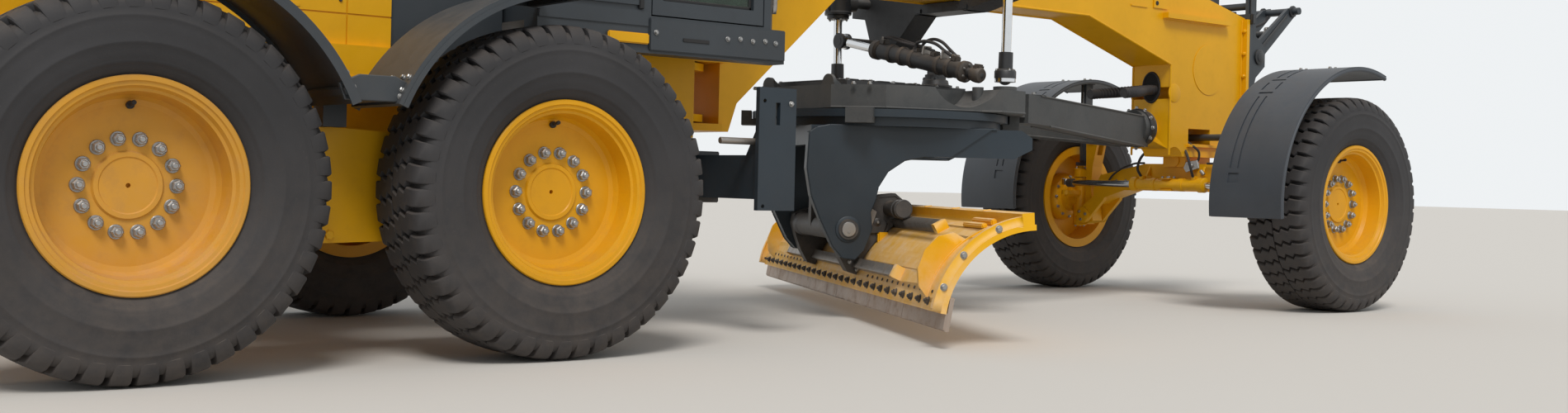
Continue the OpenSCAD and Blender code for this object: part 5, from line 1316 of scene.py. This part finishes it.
def is_rail(face):
    # a face on either rail, outside the plate, that doesn't close the rail's end
    for angle in (155.6, 118):
        back = on_back(angle).inverted()
        spot, way = back @ face.calc_center_median(), back.to_3x3().normalized() @ face.normal
        on_top = spot.x > rail_from and abs(spot.z) < rail_half
        if on_top and abs(spot.y) < rail_end and abs(way.y) < 0.6:
            return True
    return False


two_finishes("moldboard_plate", "moldboard", "blade", (blade_yellow, worn_rail), is_rail, 25)
plough = bmesh.new()
turned(plough, (0, 0, -2), (0, 0, 2), [(0, 20), (3, 20), (4, 18)], 16)
turned(plough, (0, 0, 2), (0, 0, 16), [(0, 15), (11, 15), (13, 11)], 6)
turned(plough, (0, 0, 13), (0, 0, 22), [(0, 8), (7, 8), (9, 6)], 10)
spots = [facing_way((450, -1752 + 123 * k, -4), (1, 0, 0), 0.7 * k) for k in range(30)]
repeated("plough_bolts", plough, spots, black_bolts, "blade", place=on_back(167.5))
small = bmesh.new()
turned(small, (0, 0, -1), (0, 0, 6), [(0, 8), (4, 8), (6, 5)], 8)
spots = [facing_way((450, -1740 + 87 * k, 0), (1, 0, 0)) for k in range(41)
         if abs(-1740 + 87 * k) > 560]
repeated("blade_marks", small, spots, black_bolts, "blade", place=on_back(161.3))
end_bolts = []
for s in (1, -1):
    for angle in (158, 138, 114):
        turn = turn_by(-angle, "Y")
        spot = turn @ Vector((468, 0, 0))
        end_bolts.append(facing_way((spot.x, s * 1826, spot.z), (0, s, 0), angle))
arc_middle = on_blade @ Matrix.Translation((arc_x, 0, arc_z))
repeated("end_plate_bolts", hex_bolt(13, 9), end_bolts, plated, "blade", place=arc_middle)
blade_trim = bmesh.new()
for s in (1, -1):
    for a0, a1, low, high, y0, y1 in ((96, 170, 486, 490, 1796, 1827),
                                      (101, 168, 449, 456, 1590, 1606)):
        skin(blade_trim, arc_rows(0, 0, a0, a1, 30, (low, high), (s * y0, s * y1)))
    for angle, low, high in ((104, 449, 478), (110, 449, 472)):
        turn = turn_by(-angle, "Y")
        slab(blade_trim, (low, s * 1300, -14), (high, s * 1560, 14), 5, turn)
for y in range(-1320, 1321, 440):
    slab(blade_trim, (500, y - 6, -20), (506, y + 6, 20), 2, turn_by(-97, "Y"), 1)
piece("moldboard_trim", blade_trim, blade_yellow, "blade", arc_middle)
edge_steel = weathered("scoured_edge", (0.40, 0.33, 0.28), rough=0.48, metal=0.55, dust=0.45,
                       fade=0.2, grime=0.6, dust_colour=(0.42, 0.32, 0.25),
                       grime_colour=(0.17, 0.11, 0.085), bump=0.5, low=0.6, reach=0.5)
dress(edge_steel, "cutting_edge")
wear = bmesh.new()
random.seed(7)
strip_long, strip_gap, chip_deep, steps = 610, 4, 5, 26
for y0 in range(-1829, 1831, strip_long):
    rows = []
    for i in range(steps + 1):
        y = y0 + (strip_long - strip_gap) * i / steps
        chip = random.random() * chip_deep
        rows.append([(420.5, y, 10), (427, y, 14), (427, y, 83 - chip), (422, y, 86.5 - chip),
                     (419.5, y, 80 - chip)])
    skin(wear, rows)
piece("edge_wear_strips", wear, edge_steel, "blade", on_back(170), 20)
shift_trim = bmesh.new()
back = turn_by(-118, "Y")
turned(shift_trim, (548, 1168, 0), (548, 1192, 0), [(0, 24), (3, 38), (20, 40), (24, 36)], 32)
slab(shift_trim, (452, 1235, -48), (600, 1241, 48), 4)
bmesh.ops.transform(shift_trim, matrix=back, verts=shift_trim.verts)
piece("shift_lug_trim", shift_trim, blade_yellow, "blade", arc_middle)

# Front mast and lift arm: a bolted plate with two folded sides, a pair of work lamps on top, and
# the arm of the front attachment with its pins, links and hoses.
dress(charcoal, "front_mast", "front_lift_arm")
arm_pin_x, arm_pin_z = 6750, 1620
mast = bmesh.new()
for s in (1, -1):
    slab(mast, (6630, s * 162, 1780), (6650, s * 172, 2140), 3)
    slab(mast, (6600.5, s * 190, 1830), (6640, s * 212, 1900), 5)
    turned(mast, (arm_pin_x, s * 162, arm_pin_z), (arm_pin_x, s * 176, arm_pin_z),
           [(0, 52), (10, 52), (14, 44)], 32)
turned(mast, (6668, 0, 1560), (6668, 0, 1930),
       [(0, 30), (4, 48), (300, 48), (306, 54), (350, 54), (356, 30), (370, 28)], 32)
slab(mast, (6632, -40, 1500), (6700, 40, 1562), 8)
piece("mast_plates", mast, black_paint, "front")
lamp_faces = bmesh.new()
for s in (1, -1):
    slab(lamp_faces, (6710, s * 135, 2126), (6716, s * 275, 2213), 2)
    for k in range(6):
        y = s * (150 + 22 * k)
        slab(lamp_faces, (6715, y - 3, 2130), (6718, y + 3, 2209), 1, segments=1)
piece("mast_lenses", lamp_faces, lens_clear, "front")
spots = [facing_way((6631, s * 172, z), (1, 0, 0), z) for s in (1, -1) for z in (1180, 1290, 1400)]
spots += [facing_way((6631, s * y, 1170), (1, 0, 0), y) for s in (1, -1) for y in (40, 100)]
repeated("mast_bolts", hex_bolt(11, 9), spots, plated, "front")
arm = bmesh.new()
for s in (1, -1):
    turned(arm, (arm_pin_x, s * 165, arm_pin_z), (arm_pin_x, s * 182, arm_pin_z),
           [(0, 25), (2, 34), (14, 34), (17, 28)], 24)
    turned(arm, (7205, s * 112, 1972), (7205, s * 126, 1972), [(0, 40), (12, 40), (14, 36)], 32)
    cut_plate(arm, [(6850, 1680), (7150, 1935), (7140, 1950), (6835, 1700)], s * 112, s * 120, 3)
bar(arm, (6960, -100, 1790), (6960, 100, 1790), 30)
slab(arm, (6830, -88, 1640), (6860, 88, 1690), 4)
piece("front_arm_trim", arm, black_paint, "front_lift_arm")
links = bmesh.new()
for s in (1, -1):
    cut_plate(links, [(6805, 1672), (6960, 1835), (6975, 1820), (6822, 1655)], s * 64, s * 76, 3)
    bar(links, (6968, s * 60, 1828), (6968, s * 82, 1828), 20)
piece("front_arm_links", links, bare_steel, "front_lift_arm")
loop = bmesh.new()
hose(loop, [(6900, 52, 1720), (6915, 60, 1790), (6960, 62, 1850), (7040, 50, 1870),
            (7110, 40, 1900), (7130, 30, 1940)], 10, 10)
piece("front_arm_hose", loop, rubber, "front_lift_arm")

# Front axle: a welded beam with forked ends, cast lean pieces and knuckles, and a yellow steering
# cylinder with chrome rods. Hoses run to both ends, and bolted caps close the pins.
dress(yellow, "front_axle", "lean_left", "lean_right", "knuckle_left", "knuckle_right")
dress(charcoal, "lean_bar")
dress(chrome, "steering_rod")
rod_x, rod_z, lean_y, lean_z, kingpin_y = 6012, 742, 790, 520, 900
axle = bmesh.new()
for s in (1, -1):
    turned(axle, (rod_x, s * 240, rod_z), (rod_x, s * 296, rod_z),
           [(0, 38), (4, 48), (46, 48), (52, 42), (56, 23)], 32)
    turned(axle, (rod_x, s * 90, rod_z), (rod_x, s * 130, rod_z),
           [(0, 38), (3, 43), (37, 43), (40, 38)], 32)
    slab(axle, (5990, s * 190, 770), (6030, s * 226, 800), 5)
    slab(axle, (6104, s * 150, 786), (6112, s * 560, 800), 3)
    slab(axle, (6104, s * 180, 724), (6112, s * 520, 738), 3)
    cut_plate(axle, [(6060, 800), (6104, 800), (6104, 870)], s * 210, s * 226, 2)
    for e in (-1, 1):
        turned(axle, (front_x + e * 99, s * lean_y, lean_z),
               (front_x + e * 112, s * lean_y, lean_z), [(0, 54), (10, 54), (13, 46)], 32)
slab(axle, (5976, -46, 700), (6104, 46, 712), 4)
slab(axle, (5968, -40, 776), (6100, 40, 784), 4)
turned(axle, (6062, 0, 902), (6072, 0, 902), [(0, 0), (0.1, 40), (8, 40), (10, 34)], 32)
piece("axle_trim", axle, yellow, "front")
lever = bmesh.new()
cut_plate(lever, [(-52, -26), (52, -34), (66, 0), (40, 34), (-46, 28)], -5, 5, 2,
          Matrix.Translation((6058, -150, 868)) @ turn_by(90, "Z") @ turn_by(12, "Y"))
bar(lever, (6040, -150, 868), (6066, -150, 868), 13, 16)
slab(lever, (6062, -176, 846), (6104, -124, 890), 4)
bar(lever, (6050, -224, 836), (6050, -250, 810), 12, 12)
piece("axle_lever", lever, plated, "front")
spots = [facing_way((6313, s * 790 + 32 * cos(a), 520 + 32 * sin(a)), (1, 0, 0), a) for s in (1, -1)
         for a in (0.8, 2.9, 5.0)]
for s in (1, -1):
    spots += bolt_ring((6087, s * lean_y, lean_z), 32, (0.8, 2.9, 5.0), (-1, 0, 0))
spots += [facing_way((6099, s * y, 762), (-1, 0, 0), y) for s in (1, -1)
          for y in (180, 240, 300, 420, 500)]
spots += [facing_way((x, y, tandem_x), (0, 0, 1), x) for x in (5984, 6040) for y in (-26, 26)]
repeated("axle_bolts", hex_bolt(8, 7), spots, plated, "front")
front_lines = bmesh.new()
for s in (1, -1):
    hose(front_lines, [(5990, s * 208, 796), (5960, s * 212, 850), (5966, s * 180, 930),
                       (6010, s * 120, 985), (6060, s * 90, 1010), (6070, s * 60, 1050)], 9, 10)
    hose(front_lines, [(6080, s * 250, 884), (6078, s * 330, 880), (6080, s * 430, 850),
                       (6084, s * 520, 800), (6090, s * 580, 730)], 7, 8)
hose(front_lines, [(6030, -100, 1040), (6040, -160, 1000), (6070, -190, 960), (6080, -180, 905),
                   (6060, -150, 880)], 8, 8)
piece("axle_hoses", front_lines, rubber, "front")


def piece_on_side(name, shape, finish, body, s):
    # drawn for the left side, and mirrored for the right one
    made = piece(name, shape, finish, body, machine @ Matrix.Diagonal((1, s, 1, 1)))
    if s < 0:
        made.data.flip_normals()


for side, s in (("left", 1), ("right", -1)):
    lean = bmesh.new()
    for z, way in ((455, -1), (835, 1)):
        turned(lean, (front_x, kingpin_y, z + way * -4), (front_x, kingpin_y, z + way * 12),
               [(0, 46), (8, 50), (13, 46), (16, 30)], 32)
    cut_plate(lean, [(6150, 560), (6250, 560), (6240, 800), (6160, 800)], 800, 822, 4)
    for e in (-1, 1):
        turned(lean, (front_x + e * 46, 765, 1056), (front_x + e * 62, 765, 1056),
               [(0, 40), (12, 40), (16, 32)], 24)
    piece_on_side("lean_trim_" + side, lean, yellow, "lean_" + side, s)
    spots = bolt_ring((front_x, kingpin_y, 446), 34, (0.6, 2.7, 4.8), (0, 0, -1))
    spots += bolt_ring((front_x, kingpin_y, 845), 34, (0.6, 2.7, 4.8), (0, 0, 1))
    spots = [Matrix.Diagonal((1, s, 1, 1)) @ p @ Matrix.Diagonal((1, s, 1, 1)) for p in spots]
    repeated("lean_bolts_" + side, hex_bolt(7, 6), spots, plated, "lean_" + side)
    hub = bmesh.new()
    turned(hub, (front_x, 950, hub_z), (front_x, 1090, hub_z),
           [(0, 70), (4, 96), (40, 104), (46, 132), (60, 150), (104, 168), (120, 168), (124, 150),
            (138, 140), (140, 90)], 48)
    slab(hub, (6160, 930, 690), (6240, 960, 770), 8)
    slab(hub, (6020, 870, 648), (6170, 892, 662), 3)
    piece_on_side("hub_carrier_" + side, hub, yellow, "knuckle_" + side, s)
    spots = bolt_ring((front_x, s * 1002, hub_z), 140, round_angles(12), (0, -s, 0))
    repeated("hub_bolts_" + side, hex_bolt(9, 8), spots, plated, "knuckle_" + side)
    brake = bmesh.new()
    hose(brake, [(6240, 918, 760), (6262, 900, 780), (6270, 940, 800), (6262, 980, 770),
                 (6250, 1000, 730)], 7, 8)
    piece_on_side("hub_hose_" + side, brake, rubber, "knuckle_" + side, s)
tie = bmesh.new()
for s in (1, -1):
    turned(tie, (6012, s * 875, 731), (6012, s * 875, 764), [(0, 18), (3, 23), (30, 23), (33, 16)],
           24)
    turned(tie, (rod_x, s * 800, rod_z), (rod_x, s * 860, rod_z),
           [(0, 22), (4, 30), (52, 30), (60, 24)], 24)
piece("steering_eyes", tie, casting, "steering_rod")

# Front fenders: moulded sheets with a rolled edge all round, on a post and four bolts. The outer
# face has a satin grain.
fender_skin = weathered("fender_skin", (0.046, 0.055, 0.068), rough=0.50, dust=0.08, fade=0.10,
                        grime=0.12, bump=0.10, low=0.2)
dress(fender_skin, "fender_front_left", "fender_front_right")
skin_radius = 807
for side, s in (("left", 1), ("right", -1)):
    roll_edge = bmesh.new()
    for y in (787, 1258):
        angles = [radians(72 + 114 * k / 36) for k in range(37)]
        path = [(front_x + skin_radius * cos(a), s * y, hub_z + skin_radius * sin(a))
                for a in angles]
        hose(roll_edge, path, 12, 10, 2)
    for a in (72.6, 185.4):
        x = front_x + (skin_radius + 2) * cos(radians(a))
        z = hub_z + (skin_radius + 2) * sin(radians(a))
        bar(roll_edge, (x, s * 782, z), (x, s * 1263, z), 12, 16)
    piece("fender_edge_" + side, roll_edge, fender_skin, "knuckle_" + side)
    bracket = bmesh.new()
    slab(bracket, (6150, s * 830, 1438), (6250, s * 1100, 1446), 2)
    for x in (6160, 6240):
        bar(bracket, (x, s * 870, 1438), (x, s * 870, 900), 9, 12)
    slab(bracket, (6140, s * 834, 889), (6260, s * 868, 905), 4)
    piece("fender_bracket_" + side, bracket, black_paint, "knuckle_" + side)
    spots = [facing_way((front_x + x, s * y, 1470), (0, 0, 1), x) for x in (-30, 30)
             for y in (860, 1060)]
    repeated("fender_bolts_" + side, hex_bolt(9, 6), spots, plated, "knuckle_" + side)
